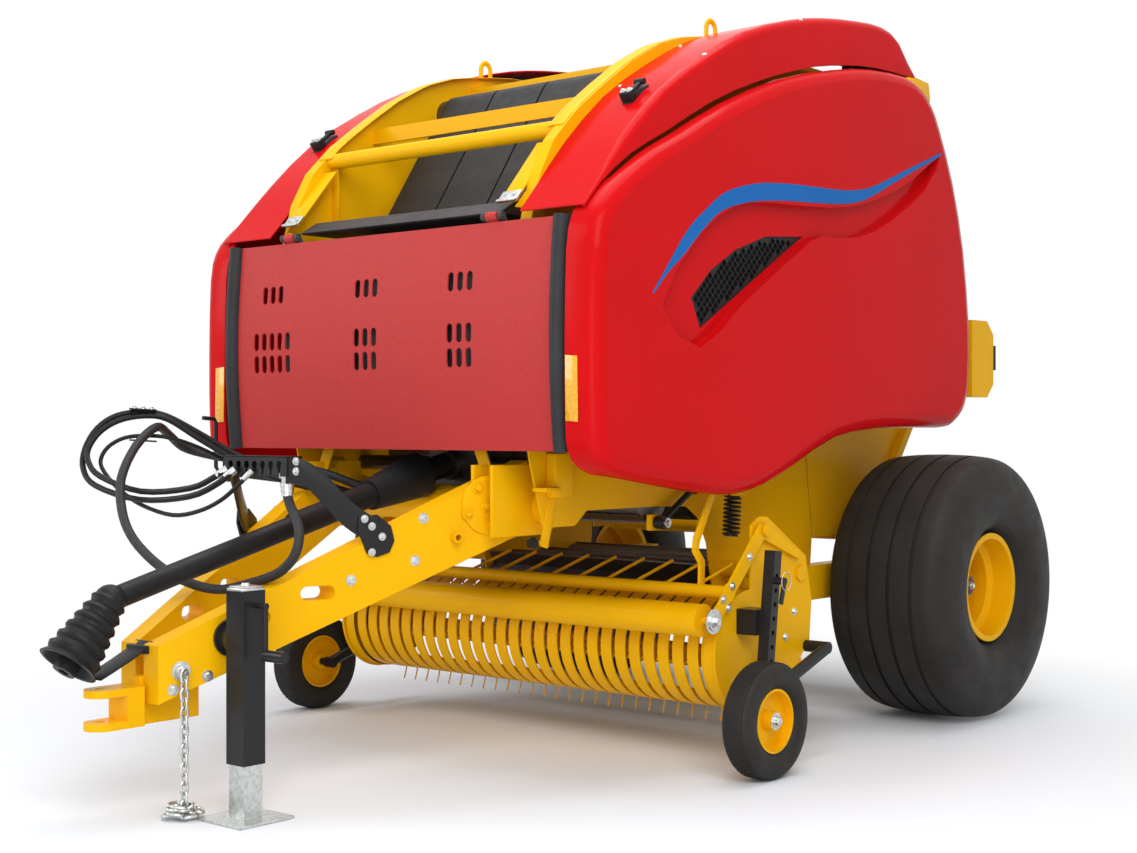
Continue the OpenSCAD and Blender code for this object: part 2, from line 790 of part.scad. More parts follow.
// a curved plate from an end of the holder down to the top of the beam on side s
module holder_arm(s, from) {
    foot = [s * (beam_mid(arm_foot_y) - arm_inset), arm_foot_y];
    way = foot - from;
    l = norm(way);
    top = holder_z + holder_h;
    fall = top - arm_h - beam_top(arm_foot_y) - gap;
    function under(u) = beam_top(from[1] + (u * way[1] + arm_t / 2 * abs(way[0])) / l) + gap;
    line = concat([[-holder_d / 2, 0]], [for (p = arm_shares) [p[0] * l, p[1] * fall]], [[l, fall]]);
    edge = flow(line, 3);
    c = len(edge) - 1;
    translate([from[0], from[1], 0]) rotate([0, 0, atan2(way[1], way[0]) - 90]) slab(-arm_t / 2, arm_t)
        polygon(concat([for (p = edge) [p[0], top - p[1]]], [[l, under(l)], [l - arm_foot_len, under(l - arm_foot_len)]],
            [for (i = [c - 2:-1:0]) if (edge[i][0] < l - arm_foot_len * 1.5) [edge[i][0], top - arm_h - edge[i][1]]]));
}

// drive shaft

module along_shaft() {
    a = atan2(gear_z - joint_z, gear_y - joint_y);
    translate([0, joint_y, joint_z]) rotate([a - 90, 0, 0]) children();
}

function shaft_len() = norm([gear_y - joint_y, gear_z - joint_z]);

module drive_shaft() {
    l = shaft_len();
    color(black) along_shaft() difference() {
        union() {
            cylinder(r = guard_r, h = l);
            translate([0, 0, l * guard_share]) cylinder(r = guard_in_r, h = l - l * guard_share);
        }
        sphere(r = neck_r + gap);
    }
}

// the drooping front boot with its collar, and the bell over the gearbox end
module drive_boots() {
    n = boot_ribs * 4;
    color(black) {
        translate([0, joint_y, joint_z]) rotate([90 + droop, 0, 0]) rotate_extrude() polygon(concat(
            [[spline_r, boot_len + yoke_out], [spline_r, boot_len - yoke_len], [0, boot_len - yoke_len]],
            arc(0, 0, neck_r, -90, 0, boot_ribs),
            [for (i = [1:n]) let (t = i / n)
                [neck_r + (boot_r - boot_rib - neck_r) * t + boot_rib * sin(t * (boot_ribs + quarter_share) * 360), t * boot_len]],
            [[boot_r - boot_rib * 2, boot_len], [yoke_r, boot_len - boot_deep], [yoke_r, boot_len + yoke_out]]));
        along_shaft() translate([0, 0, shaft_len() - bell_len - bell_back]) difference() {
            cylinder(r1 = guard_in_r + sheet * 2, r2 = bell_r, h = bell_len);
            translate([0, 0, -thin]) cylinder(r = guard_in_r + gap, h = bell_len + thin * 2);
            translate([0, 0, bell_len / 2]) cylinder(r1 = guard_in_r + sheet, r2 = bell_r - sheet, h = bell_len / 2 + thin);
        }
    }
}

module gearbox() {
    color(dark) {
        translate([-gear_w / 2, gear_y + gear_neck / 2, gear_z - gear_h / 2]) cube([gear_w, gear_l, gear_h]);
        along_shaft() translate([0, 0, shaft_len()]) cylinder(r = gear_neck_r, h = gear_neck);
        rod_x(-wall_in, gear_y + gear_neck / 2 + gear_l / 2, gear_z, gear_shaft_r, chamber_w);
    }
}

// one chain link, long way up
module link() {
    for (s = [1, -1]) {
        translate([s * link_half, 0, -link_in / 2 + link_half]) cylinder(r = link_r, h = link_in - 2 * link_half);
        translate([0, 0, s * (link_in / 2 - link_half)]) rotate([90, 0, 0])
            rotate([0, 0, s > 0 ? 0 : 180]) rotate_extrude(angle = 180) translate([link_half, 0]) circle(r = link_r);
    }
}

module safety_chain() {
    p = link_in - 2 * link_r - gap;
    color(steel) {
        for (k = [0:chain_hang - 1]) translate([chain_x, chain_y, chain_top - k * p])
            rotate([0, 0, 90 * (k % 2 + 1)]) link();
        x = beam_front_x + beam_w / 2 + (beam_back_x - beam_front_x) * (chain_y + chain_pin_r - beam_front_y) / (beam_back_y - beam_front_y) + gap;
        rod_x(x, chain_y, chain_top + link_in / 2 - link_r - chain_pin_r - gap, chain_pin_r, chain_x + chain_pin_over - x);
    }
}

// shoulders

function shoulder_top() = flow(spread(upper_shares, shoulder_y0, shoulder_len, shoulder_z0, shoulder_h), 2);

module shoulder() {
    u = shoulder_top();
    l = flow(spread(lower_shares, shoulder_y0, shoulder_len, shoulder_z0, shoulder_h), 2);
    function row(i, c) = let (r = min(shoulder_round, (u[i][1] - l[i][1]) * shoulder_round_share),
        x = shoulder_x - c, z = u[i][1] - c, y = u[i][0], q = max(r - c, c / 2))
        concat([[shoulder_in, y, z]], [for (a = [90:-30:0]) [x - q + q * cos(a), y, z - q + q * sin(a)]],
        [[x, l[i][0], l[i][1]]]);
    color(red) shell([for (i = [0:len(u) - 1]) row(i, 0)], [for (i = [0:len(u) - 1]) row(i, sheet)]);
}

// side shields

function shield_spread(t) = spread(t, shield_y0, shield_len, shield_z0, shield_h);

module shield_rim() {
    p = shield_edge();
    r = shield_round;
    w = sheet;
    function deep(i) = p[i][0] < shield_y0 + shield_len * shield_front_share ? shield_front_depth : shield_depth;
    function at(i, inset, x) = let (q = p[i] + inward(p, i) * inset) [x, q[0], q[1]];
    rows = [for (i = [0:len(p) - 1]) [at(i, r, shield_x), at(i, r * crown_shares[0], shield_x - r * crown_shares[1]),
        at(i, r * crown_shares[1], shield_x - r * crown_shares[0]), at(i, 0, shield_x - r), at(i, 0, shield_x - deep(i)),
        at(i, w, shield_x - deep(i)), at(i, w, shield_x - r), at(i, r * crown_shares[0], shield_x - r * crown_shares[1] - w),
        at(i, r, shield_x - w)]];
    color(red) hoop(rows);
}

function shield_edge() = smooth(shield_spread(shield_shares), 2);

module shield() {
    p = shield_edge();
    w = sheet;
    dish = smooth(shield_spread(recess_shares), 2);
    color(red) {
        slab(shield_x - w, w) difference() {
            polygon(turned([for (i = [0:len(p) - 1]) p[i] + inward(p, i) * shield_round]));
            polygon(dish);
        }
        slab(shield_x - recess_deep, recess_deep - w) difference() {
            offset(delta = w) polygon(dish);
            polygon(dish);
        }
        slab(shield_x - recess_deep - w, w) difference() {
            offset(delta = w) polygon(dish);
            polygon(shield_spread(mesh_shares));
        }
        for (y = hinge_ys) across(y, hinge_len) difference() {
            union() {
                translate([hinge_x, hinge_z]) circle(r = hinge_eye_r);
                polygon([[hinge_x - hinge_eye_r, hinge_z], [shield_x - w, hinge_z - hinge_len * 1.6],
                    [shield_x - w, hinge_z - hinge_len * 0.75], [hinge_x + hinge_eye_r, hinge_z]]);
            }
            translate([hinge_x, hinge_z]) circle(r = hinge_pin_r + gap);
        }
    }
}

module shield_brackets() {
    u = shoulder_top();
    l = hinge_x - hinge_arm_off;
    color(black) for (s = [1, -1]) side(s) for (y = hinge_ys) {
        across(y, hinge_len + 2 * hinge_arm_w) translate([hinge_x, hinge_z]) circle(r = hinge_pin_r);
        for (e = [1, -1]) let (m = y + e * (hinge_len / 2 + hinge_arm_w / 2),
            top = min(lookup(m - hinge_arm_t / 2, u), lookup(m + hinge_arm_t / 2, u)) - sheet - gap)
            across(m, hinge_arm_t) {
                translate([hinge_x, hinge_z]) circle(r = hinge_pin_r + wall_t);
                polygon([[l, top], [l - hinge_arm_w, top], [l - hinge_arm_w, hinge_z - hinge_base],
                    [hinge_x, hinge_z - hinge_toe], [hinge_x + hinge_neck, hinge_z],
                    [hinge_x - hinge_neck, hinge_z], [hinge_x - hinge_neck, hinge_z - hinge_dip],
                    [l, hinge_z - hinge_fall]]);
            }
    }
}

// whether a point lies within an outline
function within(q, p) = len([for (i = [0:len(p) - 1]) let (a = p[i], b = p[(i + 1) % len(p)])
    if ((a[1] > q[1]) != (b[1] > q[1])
        && q[0] < (b[0] - a[0]) * (q[1] - a[1]) / (b[1] - a[1]) + a[0]) 1]) % 2 == 1;

module grille() {
    m = shield_spread(mesh_shares);
    h = mesh_pitch / 2;
    c = h - mesh_bar / 2;
    lo = [min([for (p = m) p[0]]), min([for (p = m) p[1]])];
    hi = [max([for (p = m) p[0]]), max([for (p = m) p[1]])];
    holes = [for (i = [0:ceil((hi[0] - lo[0]) / h)]) for (j = [0:ceil((hi[1] - lo[1]) / h)]) let (q = lo + [i, j] * h)
        if ((i + j) % 2 == 0 && min([for (d = [[1, 0], [0, 1], [-1, 0], [0, -1]]) within(q + d * h, m) ? 1 : 0]) == 1) q];
    color(black) slab(shield_x - recess_deep - sheet - mesh_t - gap, mesh_t) difference() {
        offset(delta = mesh_pitch / 2) polygon(m);
        for (q = holes) translate(q) rotate([0, 0, 45]) square(c * sqrt(2), center = true);
    }
}

// front panel

module front_panel() {
    t = sheet;
    pts = [for (i = [0:12]) let (s = i / 12) [panel_y + panel_bulge * (1 - sin(s * 180)), panel_z0 + s * panel_h]];
    color(red) difference() {
        union() {
            slab(-panel_w / 2, panel_w) polygon(concat(pts, [for (i = [12:-1:0]) pts[i] + [t, 0]]));
            for (s = [1, -1]) side(s) slab(panel_w / 2 - t, t)
                polygon(concat(pts, [for (i = [12:-1:0]) pts[i] + [t + panel_fold, 0]]));
            for (s = [1, -1]) side(s) difference() {
                union() {
                    rod_x(panel_pin_x - panel_eye_w / 2, panel_hinge_y, panel_hinge_z, panel_eye_r, panel_eye_w);
                    block([panel_pin_x - panel_eye_w / 2, panel_y + panel_bulge + t - thin, panel_z0 + panel_h - panel_eye_w],
                        [panel_pin_x + panel_eye_w / 2, panel_hinge_y + panel_eye_r, panel_hinge_z]);
                }
                rod_x(panel_pin_x - panel_eye_w, panel_hinge_y, panel_hinge_z, panel_pin_r + gap, panel_eye_w * 2);
            }
        }
        for (r = slot_rows) for (g = [0:2]) for (k = [0:r[g + 1] - 1])
            translate([slot_xs[g] + (k - (r[g + 1] - 1) / 2) * slot_pitch, panel_y - panel_fold, r[0]])
                rotate([-90, 0, 0]) {
                    for (e = [1, -1]) translate([0, e * (slot_h - slot_w) / 2, 0])
                        cylinder(r = slot_w / 2, h = panel_fold * 3);
                    translate([-slot_w / 2, -(slot_h - slot_w) / 2, 0]) cube([slot_w, slot_h - slot_w, panel_fold * 3]);
                }
    }
}

module panel_seals() {
    color(black) for (s = [1, -1]) side(s)
        translate([panel_w / 2 + gap, panel_y + panel_bulge - seal_t / 2, panel_z0])
            block([0, -seal_t / 4, 0], [seal_w, seal_t, panel_h]);
}

module wrap_box() {
    color(dark) {
        slab(-wall_in, chamber_w) difference() {
            polygon([[box_front, box_low], [box_front, box_high], [box_back, box_high], [box_back, box_low]]);
            polygon([[box_front + sheet, box_low + sheet], [box_front + sheet, box_high - sheet],
                [box_back - sheet, box_high - sheet], [box_back - sheet, box_low + sheet]]);
        }
        for (s = [1, -1]) side(s) {
            for (e = [1, -1])
                slab(panel_pin_x + e * (panel_eye_w / 2 + panel_lug_gap + panel_lug_w / 2) - panel_lug_w / 2, panel_lug_w) {
                    translate([panel_hinge_y, panel_hinge_z]) circle(r = panel_lug_r);
                    polygon([[box_front, box_high - sheet], [box_front + panel_lug_d, box_high - sheet],
                        [panel_hinge_y + panel_lug_r, panel_hinge_z],
                        [panel_hinge_y + panel_pin_r, panel_hinge_z - panel_pin_r]]);
                }
            rod_x(panel_pin_x - panel_eye_w, panel_hinge_y, panel_hinge_z, panel_pin_r, panel_eye_w * 2);
        }
    }
}

// belts and rolls

module chamber_rolls() {
    cr = chamber_d / 2 + roll_r + roll_rib;
    color(steel) {
        for (a = roll_angles) translate([-wall_in, -chamber_ahead + cr * cos(a), chamber_z + cr * sin(a)])
            rotate([0, 90, 0]) {
                cylinder(r = roll_r, h = chamber_w);
                for (k = [0:roll_ribs - 1]) rotate([0, 0, k * 360 / roll_ribs])
                    translate([roll_r - roll_rib, -roll_rib, roll_rib]) cube([roll_rib * 2, roll_rib * 2, chamber_w - 2 * roll_rib]);
            }
        for (p = front_rollers) rod_x(-wall_in, p[0], p[1], roller_r, chamber_w);
    }
}

module loop(rollers, a) {
    difference() {
        hull() {
            for (p = rollers) translate(p) circle(r = (roller_r + belt_t + gap) / cos(180 / belt_fn), $fn = belt_fn);
            polygon(arc(-chamber_ahead, chamber_z, chamber_d / 2 + belt_t, a[0], a[1], arc_steps));
        }
        translate([-chamber_ahead, chamber_z]) circle(r = chamber_d / 2, $fn = 72);
    }
}

module belts(rollers, a) {
    color(black) for (k = [0:belt_count - 1])
        slab((k - belt_count / 2) * (belt_w + belt_gap) + belt_gap / 2, belt_w) difference() {
            loop(rollers, a);
            offset(delta = -belt_t) loop(rollers, a);
        }
}

module feed_rotor() {
    color(dark) {
        rod_x(-wall_in + wall_t, rotor_y, rotor_z, rotor_core_r, chamber_w - 2 * wall_t);
        rod_x(-wall_out, rotor_y, rotor_z, rotor_shaft_r, 2 * wall_out);
        for (k = [0:rotor_fins - 1]) translate([-wall_in + 2 * wall_t, rotor_y, rotor_z]) rotate([k * 360 / rotor_fins, 0, 0])
            translate([0, 0, -rotor_fin_t / 2]) cube([chamber_w - 4 * wall_t, rotor_r, rotor_fin_t]);
    }
}

// tailgate

function gate_line() = spread(gate_shares, gate_y0, gate_len, gate_z0, gate_h);

module tailgate() {
    g = spread(lug_shares, gate_y0, gate_len, gate_z0, gate_h);
    color(yellow) {
        slab(wall_in, wall_t) polygon(gate_line());
        slab(wall_out, gate_bar_w) intersection() {
            difference() {
                polygon(gate_line());
                offset(delta = -gate_bar_deep) polygon(gate_line());
            }
            translate([0, gate_z0]) square([gate_len, gate_h]);
        }
        slab(wall_out + lug_gap, lug_t) difference() {
            union() {
                translate([gate_pivot_y, gate_pivot_z]) circle(r = gate_boss_r);
                polygon(concat([[gate_pivot_y, gate_pivot_z - gate_boss_r], [gate_pivot_y, gate_pivot_z + gate_boss_r]],
                    [for (k = [1:len(g) - 1]) g[k]]));
            }
            translate([gate_pivot_y, gate_pivot_z]) circle(r = gate_pin_r + gap);
        }
        slab(wall_out - thin, lug_gap + 2 * thin) polygon([for (k = [1:len(g) - 1]) g[k] * 0.98 + 0.02 * g[3]]);
    }
}

module tailgate_tubes() {
    color(yellow) for (p = spread(gate_tube_shares, gate_y0, gate_len, gate_z0, gate_h))
        rod_x(-wall_in, p[0], p[1], gate_tube_r, chamber_w);
}

module tailgate_rollers() {
    color(steel) for (p = gate_rollers) rod_x(-wall_in, p[0], p[1], roller_r, chamber_w);
}

module lamp_brackets() {
    e = rear_reach - lamp_lens_t;
    color(yellow) for (s = [1, -1]) side(s) {
        slab(lamp_x0, lamp_w) polygon([[lamp_y, lamp_z0], [e - lamp_cut, lamp_z0], [e, lamp_z0 + lamp_cut],
            [e, lamp_z0 + lamp_h - lamp_cut], [e - lamp_cut, lamp_z0 + lamp_h], [lamp_y, lamp_z0 + lamp_h]]);
        block([wall_out + gate_bar_w, lamp_y + lamp_arm / 2, lamp_lens_z],
            [lamp_x0 + thin, lamp_y + lamp_arm * 1.5, lamp_lens_z + lamp_arm]);
    }
}

module tail_lenses() {
    m = lamp_x0 + lamp_w / 2;
    color(lens) for (s = [1, -1]) side(s) block([m - lamp_lens_w / 2, rear_reach - lamp_lens_t, lamp_lens_z - lamp_lens_h],
        [m + lamp_lens_w / 2, rear_reach, lamp_lens_z]);
}

// pickup

module pickup_plates() {
    color(yellow) for (s = [1, -1]) side(s) {
        slab(plate_x, plate_t) difference() {
            union() {
                translate([drum_y, drum_z]) circle(r = plate_r);
                polygon(spread(plate_pts_shares, plate_y0, plate_len, plate_z0, plate_h));
            }
            translate([pick_pivot_y, pick_pivot_z]) circle(r = pick_pin_r + gap);
            translate([drum_y + reel_dy, drum_z + reel_dz]) circle(r = reel_shaft_r + gap);
        }
        rod_x(plate_x + plate_t - thin, guard_pivot_y, guard_pivot_z, guard_pin_r, plate_t * 3);
        rod_x(guard_arm_x + guard_arm_t + plate_t / 2, guard_pivot_y, guard_pivot_z, guard_head_r, plate_t);
    }
}

module pickup_tubes() {
    color(yellow) rod_x(-plate_x, pick_tube_y, pick_tube_z, pick_tube_r, 2 * plate_x);
}

module band_outline() {
    difference() {
        union() {
            circle(r = band_r);
            translate([0, -band_r]) square([band_low, band_r]);
            square([band_top, band_r]);
        }
        circle(r = band_r - band_t);
        translate([0, -band_r + band_t]) square([band_low * 2, 2 * band_r - 2 * band_t]);
    }
}

module band_guard() {
    color(yellow) translate([0, drum_y, drum_z]) {
        for (k = [0:band_count - 1]) slab((k - (band_count - 1) / 2) * band_pitch - band_w / 2, band_w) band_outline();
        block([-plate_x, band_top - band_bar, band_r - band_t - band_bar_t], [plate_x, band_top, band_r - band_t + thin]);
        block([-plate_x, band_low - band_bar, -band_r], [plate_x, band_low, -band_r + band_low_t]);
    }
}

module tine_reel() {
    color(dark) translate([0, drum_y + reel_dy, drum_z + reel_dz]) {
        rod_x(-plate_x - plate_t, 0, 0, reel_shaft_r, 2 * (plate_x + plate_t));
        for (s = [1, -1]) side(s) rod_x(reel_disc_x, 0, 0, reel_disc_r, reel_disc_t);
        for (k = [0:reel_bars - 1]) rotate([k * 360 / reel_bars, 0, 0]) {
            rod_x(-reel_disc_x - thin, 0, -reel_bar_ring, reel_bar_r, 2 * (reel_disc_x + thin));
            for (i = [0:band_count - 2]) translate([(i - (band_count - 2) / 2) * band_pitch, 0, -reel_bar_ring])
                tine();
        }
    }
}

module tine() {
    l = tine_r - reel_bar_ring;
    k = l * tine_knee_share;
    rotate([180, 0, 0]) cylinder(r = tine_wire, h = k, $fn = tine_sides);
    translate([0, 0, -k + tine_wire / 2]) rotate([180 - tine_bend, 0, 0])
        cylinder(r = tine_wire, h = l - k, $fn = tine_sides);
}

module windguard() {
    h = guard_arm_h / 2;
    color(yellow) {
        for (s = [1, -1]) side(s) slab(guard_arm_x, guard_arm_t) difference() {
            union() {
                polygon([[wind_y - h, wind_z], [guard_pivot_y - h, guard_pivot_z + h], [guard_pivot_y + h, guard_pivot_z + h],
                    [guard_tail_y + h, guard_tail_z], [guard_tail_y, guard_tail_z - h], [guard_pivot_y, guard_pivot_z - h * 1.4],
                    [wind_y + h, wind_z - h]]);
                translate([wind_y, wind_z]) circle(r = h * 1.3);
                translate([wind_tube_y, wind_tube_z]) circle(r = wind_tube_r * 1.4);
            }
            translate([guard_pivot_y, guard_pivot_z]) circle(r = guard_pin_r + gap);
            translate([wind_y, wind_z]) circle(r = wind_pin_r + gap);
        }
        rod_x(-guard_arm_x - thin, wind_tube_y, wind_tube_z, wind_tube_r, 2 * (guard_arm_x + thin));
        for (k = [0:rod_count - 1]) let (x = (k - (rod_count - 1) / 2) * rod_pitch)
            bar([x, wind_tube_y, wind_tube_z + wind_tube_r / 2], [x, rod_tip_y, rod_tip_z], rod_r);
    }
}

module wind_roller() {
    color(yellow) {
        rod_x(-wind_len / 2, wind_y, wind_z, wind_r, wind_len);
        rod_x(-guard_arm_x - guard_arm_t, wind_y, wind_z, wind_pin_r, 2 * (guard_arm_x + guard_arm_t));
    }
}

// gauge wheels

function gauge_line(s) = [for (p = tyre_shares)
    [gauge_rim_r + gap + p[1] * (gauge_d / 2 - gauge_rim_r - gap), p[0] * gauge_w / 2 * s]];

module gauge_tyre() {
    o = flow(gauge_line(1), 2);
    color(black) translate([gauge_x, gauge_y, gauge_z]) rotate([0, 90, 0]) rotate_extrude()
        polygon(concat(o, [for (k = [len(o) - 2:-1:0]) [o[k][0], -o[k][1]]]));
}

module gauge_rim() {
    w = gauge_w / 2 * gauge_rim_share;
    color(yellow) translate([gauge_x, gauge_y, gauge_z]) rotate([0, 90, 0]) difference() {
        union() {
            difference() {
                translate([0, 0, -w]) cylinder(r = gauge_rim_r, h = 2 * w);
                translate([0, 0, -w - thin]) cylinder(r = gauge_rim_r - rim_t, h = 2 * (w + thin));
            }
            translate([0, 0, -gauge_disc_t / 2]) cylinder(r = gauge_rim_r - rim_t / 2, h = gauge_disc_t);
            translate([0, 0, -w]) cylinder(r = gauge_hub_r, h = 2 * w);
        }
        translate([0, 0, -w - thin]) cylinder(r = gauge_pin_r + gap, h = 2 * (w + thin));
    }
}

module gauge_arms() {
    color(black) for (s = [1, -1]) side(s) {
        rod_x(gauge_arm_x, gauge_y, gauge_z, gauge_pin_r, gauge_x + gauge_w / 2 - gauge_arm_x);
        rod_x(gauge_arm_x - gauge_arm_r, gauge_y, gauge_z, gauge_arm_r, gauge_arm_r * 2);
        bar([gauge_arm_x, gauge_y, gauge_z], [gauge_arm_x, gauge_end_y, gauge_end_z], gauge_arm_r);
        rod_x(plate_x + plate_t, gauge_end_y + gauge_arm_r, gauge_end_z, gauge_arm_r, gauge_arm_x - plate_x - plate_t);
        translate([gauge_arm_x, post_y, post_low]) rotate([-post_lean, 0, 0]) difference() {
            translate([-post_w / 2, -post_w / 2, 0]) cube([post_w, post_w, post_top - post_low]);
            for (k = [0:post_holes - 1]) rod_x(-post_w, 0, post_hole_low - post_low + k * post_hole_pitch, post_hole_r, 2 * post_w);
        }
        translate([plate_x + plate_t, post_y - post_w / 2, post_clamp_z])
            cube([gauge_arm_x - plate_x - plate_t - post_w / 2 + thin, post_w * 2, post_clamp_h]);
    }
}

place() {
    side(1) wall();  // wall_left
    side(-1) wall();  // wall_right
    crossmembers();
    axle();
    side(1) tongue();  // tongue_left
    side(-1) tongue();  // tongue_right
    hitch();
    jack_body();
    jack_leg();
    hose_holder();
    drive_shaft();
    drive_boots();
    gearbox();
    safety_chain();
    side(1) shoulder();  // shoulder_left
    side(-1) shoulder();  // shoulder_right
    wrap_box();
    chamber_rolls();
    belts(front_rollers, front_arc);  // front_belts
    shield_brackets();
    feed_rotor();
    side(1) tyre();  // tyre_left
    side(-1) tyre();  // tyre_right
    side(1) rim();  // rim_left
    side(-1) rim();  // rim_right
    side(1) tailgate();  // tailgate_left
    side(-1) tailgate();  // tailgate_right
    tailgate_tubes();
    belts(gate_rollers, gate_arc);  // tailgate_belts
    tailgate_rollers();
    lamp_brackets();
    tail_lenses();
    side(1) shield();  // shield_left
    side(-1) shield();  // shield_right
    side(1) shield_rim();  // shield_rim_left
    side(-1) shield_rim();  // shield_rim_right
    side(1) grille();  // grille_left
    side(-1) grille();  // grille_right
    front_panel();
    panel_seals();
    pickup_plates();
    pickup_tubes();
    band_guard();
    gauge_arms();
    tine_reel();
    windguard();
    wind_roller();
    side(1) gauge_tyre();  // gauge_tyre_left
    side(-1) gauge_tyre();  // gauge_tyre_right
    side(1) gauge_rim();  // gauge_rim_left
    side(-1) gauge_rim();  // gauge_rim_right
}
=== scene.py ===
"""Looks of a round baler: finishes, hoses, stripes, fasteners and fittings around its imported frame."""

import json
import math

import bmesh
import bpy
from mathutils import Matrix, Vector
from mathutils.bvhtree import BVHTree

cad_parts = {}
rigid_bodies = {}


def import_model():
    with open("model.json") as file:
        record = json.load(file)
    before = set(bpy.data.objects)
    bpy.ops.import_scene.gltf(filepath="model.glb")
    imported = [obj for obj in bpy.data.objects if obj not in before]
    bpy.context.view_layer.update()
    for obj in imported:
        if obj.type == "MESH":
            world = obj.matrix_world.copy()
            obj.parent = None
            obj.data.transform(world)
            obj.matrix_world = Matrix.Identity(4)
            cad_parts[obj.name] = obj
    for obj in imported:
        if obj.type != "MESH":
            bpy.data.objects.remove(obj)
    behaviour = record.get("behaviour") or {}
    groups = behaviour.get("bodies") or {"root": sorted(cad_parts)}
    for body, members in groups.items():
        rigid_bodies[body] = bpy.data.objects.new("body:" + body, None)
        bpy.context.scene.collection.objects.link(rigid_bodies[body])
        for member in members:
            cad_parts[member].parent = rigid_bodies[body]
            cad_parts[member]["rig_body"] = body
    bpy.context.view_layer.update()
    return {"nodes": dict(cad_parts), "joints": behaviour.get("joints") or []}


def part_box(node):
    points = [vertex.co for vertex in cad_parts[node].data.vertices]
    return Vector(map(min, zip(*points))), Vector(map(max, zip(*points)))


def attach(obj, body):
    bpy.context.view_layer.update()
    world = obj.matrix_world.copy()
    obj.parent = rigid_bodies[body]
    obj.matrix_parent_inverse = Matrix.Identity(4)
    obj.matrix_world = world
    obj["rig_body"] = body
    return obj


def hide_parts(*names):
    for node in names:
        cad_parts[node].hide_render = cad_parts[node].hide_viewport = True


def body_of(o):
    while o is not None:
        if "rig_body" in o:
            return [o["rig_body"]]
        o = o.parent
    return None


bl_info = {
    "name": "Round baler looks",
    "version": (1, 0, 0),
    "blender": (4, 5, 0),
    "location": "3D View > Sidebar > Baler",
    "description": "Paint, hoses, stripes, fasteners and studio for the round baler",
    "category": "Object",
}

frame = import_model()
AXLE = Vector(next(joint["pos_m"] for joint in frame["joints"] if joint["name"] == "main_wheel_left"))
SIDES = {"left": 1, "right": -1}
LEFT, REAR, UP = Vector((1, 0, 0)), Vector((0, 1, 0)), Vector((0, 0, 1))
MM = 0.001


class BalerColours(bpy.types.PropertyGroup):
    """Colours of the paints and materials."""

    red: bpy.props.FloatVectorProperty(
        name="Red paint", description="Shields and shoulders", subtype="COLOR",
        size=4, min=0, max=1, default=(0.58, 0.005, 0.007, 1))
    # the panel's own red with a painted sheen from its grain mixed into the colour, which makes it pinker
    # than the shields
    panel_red: bpy.props.FloatVectorProperty(
        name="Panel red", description="Grained front panel", subtype="COLOR",
        size=4, min=0, max=1, default=(0.46, 0.036, 0.034, 1))
    yellow: bpy.props.FloatVectorProperty(
        name="Yellow paint", description="Frame, wheels and pickup", subtype="COLOR",
        size=4, min=0, max=1, default=(0.87, 0.45, 0.002, 1))
    blue: bpy.props.FloatVectorProperty(
        name="Blue stripe", description="Stripe along the shields", subtype="COLOR",
        size=4, min=0, max=1, default=(0.010, 0.130, 0.42, 1))
    amber: bpy.props.FloatVectorProperty(
        name="Amber reflector", description="Reflector tape", subtype="COLOR",
        size=4, min=0, max=1, default=(0.80, 0.38, 0.006, 1))
    black: bpy.props.FloatVectorProperty(
        name="Black paint", description="Jack, hooks and grilles", subtype="COLOR",
        size=4, min=0, max=1, default=(0.014, 0.014, 0.015, 1))
    rubber: bpy.props.FloatVectorProperty(
        name="Tyre rubber", description="Tyres", subtype="COLOR",
        size=4, min=0, max=1, default=(0.024, 0.022, 0.020, 1))
    zinc: bpy.props.FloatVectorProperty(
        name="Zinc", description="Jack leg, chain and bolts", subtype="COLOR",
        size=4, min=0, max=1, default=(0.60, 0.62, 0.61, 1))


class BalerSizes(bpy.types.PropertyGroup):
    """Sizes of what is added to the frame."""

    stripe_lift: bpy.props.FloatProperty(
        name="Stripe film", description="Thickness of the stripe's film", unit="LENGTH",
        default=0.8 * MM, min=0.2 * MM, max=2 * MM)
    edge_round: bpy.props.FloatProperty(
        name="Edge rounding", description="Rounding that painted edges show", unit="LENGTH",
        default=3 * MM, min=0.5 * MM, max=8 * MM)
    harness_d: bpy.props.FloatProperty(
        name="Harness", description="Diameter of the braided harness", unit="LENGTH",
        default=32 * MM, min=20 * MM, max=45 * MM)
    chain_wire: bpy.props.FloatProperty(
        name="Chain wire", description="Radius of the safety chain's wire", unit="LENGTH",
        default=5.5 * MM, min=3 * MM, max=8 * MM)
    tread_height: bpy.props.FloatProperty(
        name="Gauge tread", description="Height of the gauge tyres' blocks", unit="LENGTH",
        default=3 * MM, min=0.5 * MM, max=5 * MM)
    hose_d: bpy.props.FloatProperty(
        name="Hose", description="Diameter of a hose", unit="LENGTH",
        default=21 * MM, min=12 * MM, max=30 * MM)
    lead_d: bpy.props.FloatProperty(
        name="Thin hose", description="Diameter of the thin hose", unit="LENGTH",
        default=15 * MM, min=8 * MM, max=24 * MM)


def mm(*numbers):
    """Millimetres in metres."""
    return tuple(number * MM for number in numbers)


def sizes():
    return bpy.context.scene.baler_sizes


def colours():
    return bpy.context.scene.baler_colours


def at(x, y, z):
    """A place given from the middle of the wheel axle, Y rearward, in the row frame."""
    return Vector((x, y + AXLE.y, z))


def at_side(s, x, y, z):
    """A place on the left, or its mirror image on the right."""
    return at(s * x, y, z)


def side_outline(s, shares, corner, length, height):
    """An upright outline on one side, given as shares of its length and height from a corner."""
    corner = at_side(s, *corner)
    return [corner + REAR * length * u + UP * height * v for u, v in shares]


def off(spot, *moves):
    """A spot moved along some ways, each by a number of millimetres."""
    for way, millimetres in moves:
        spot = spot + way * millimetres * MM
    return spot


def steps(low, high, count):
    """Even steps from low to high, both included."""
    return [low + (high - low) * i / count for i in range(count + 1)]


# meshes


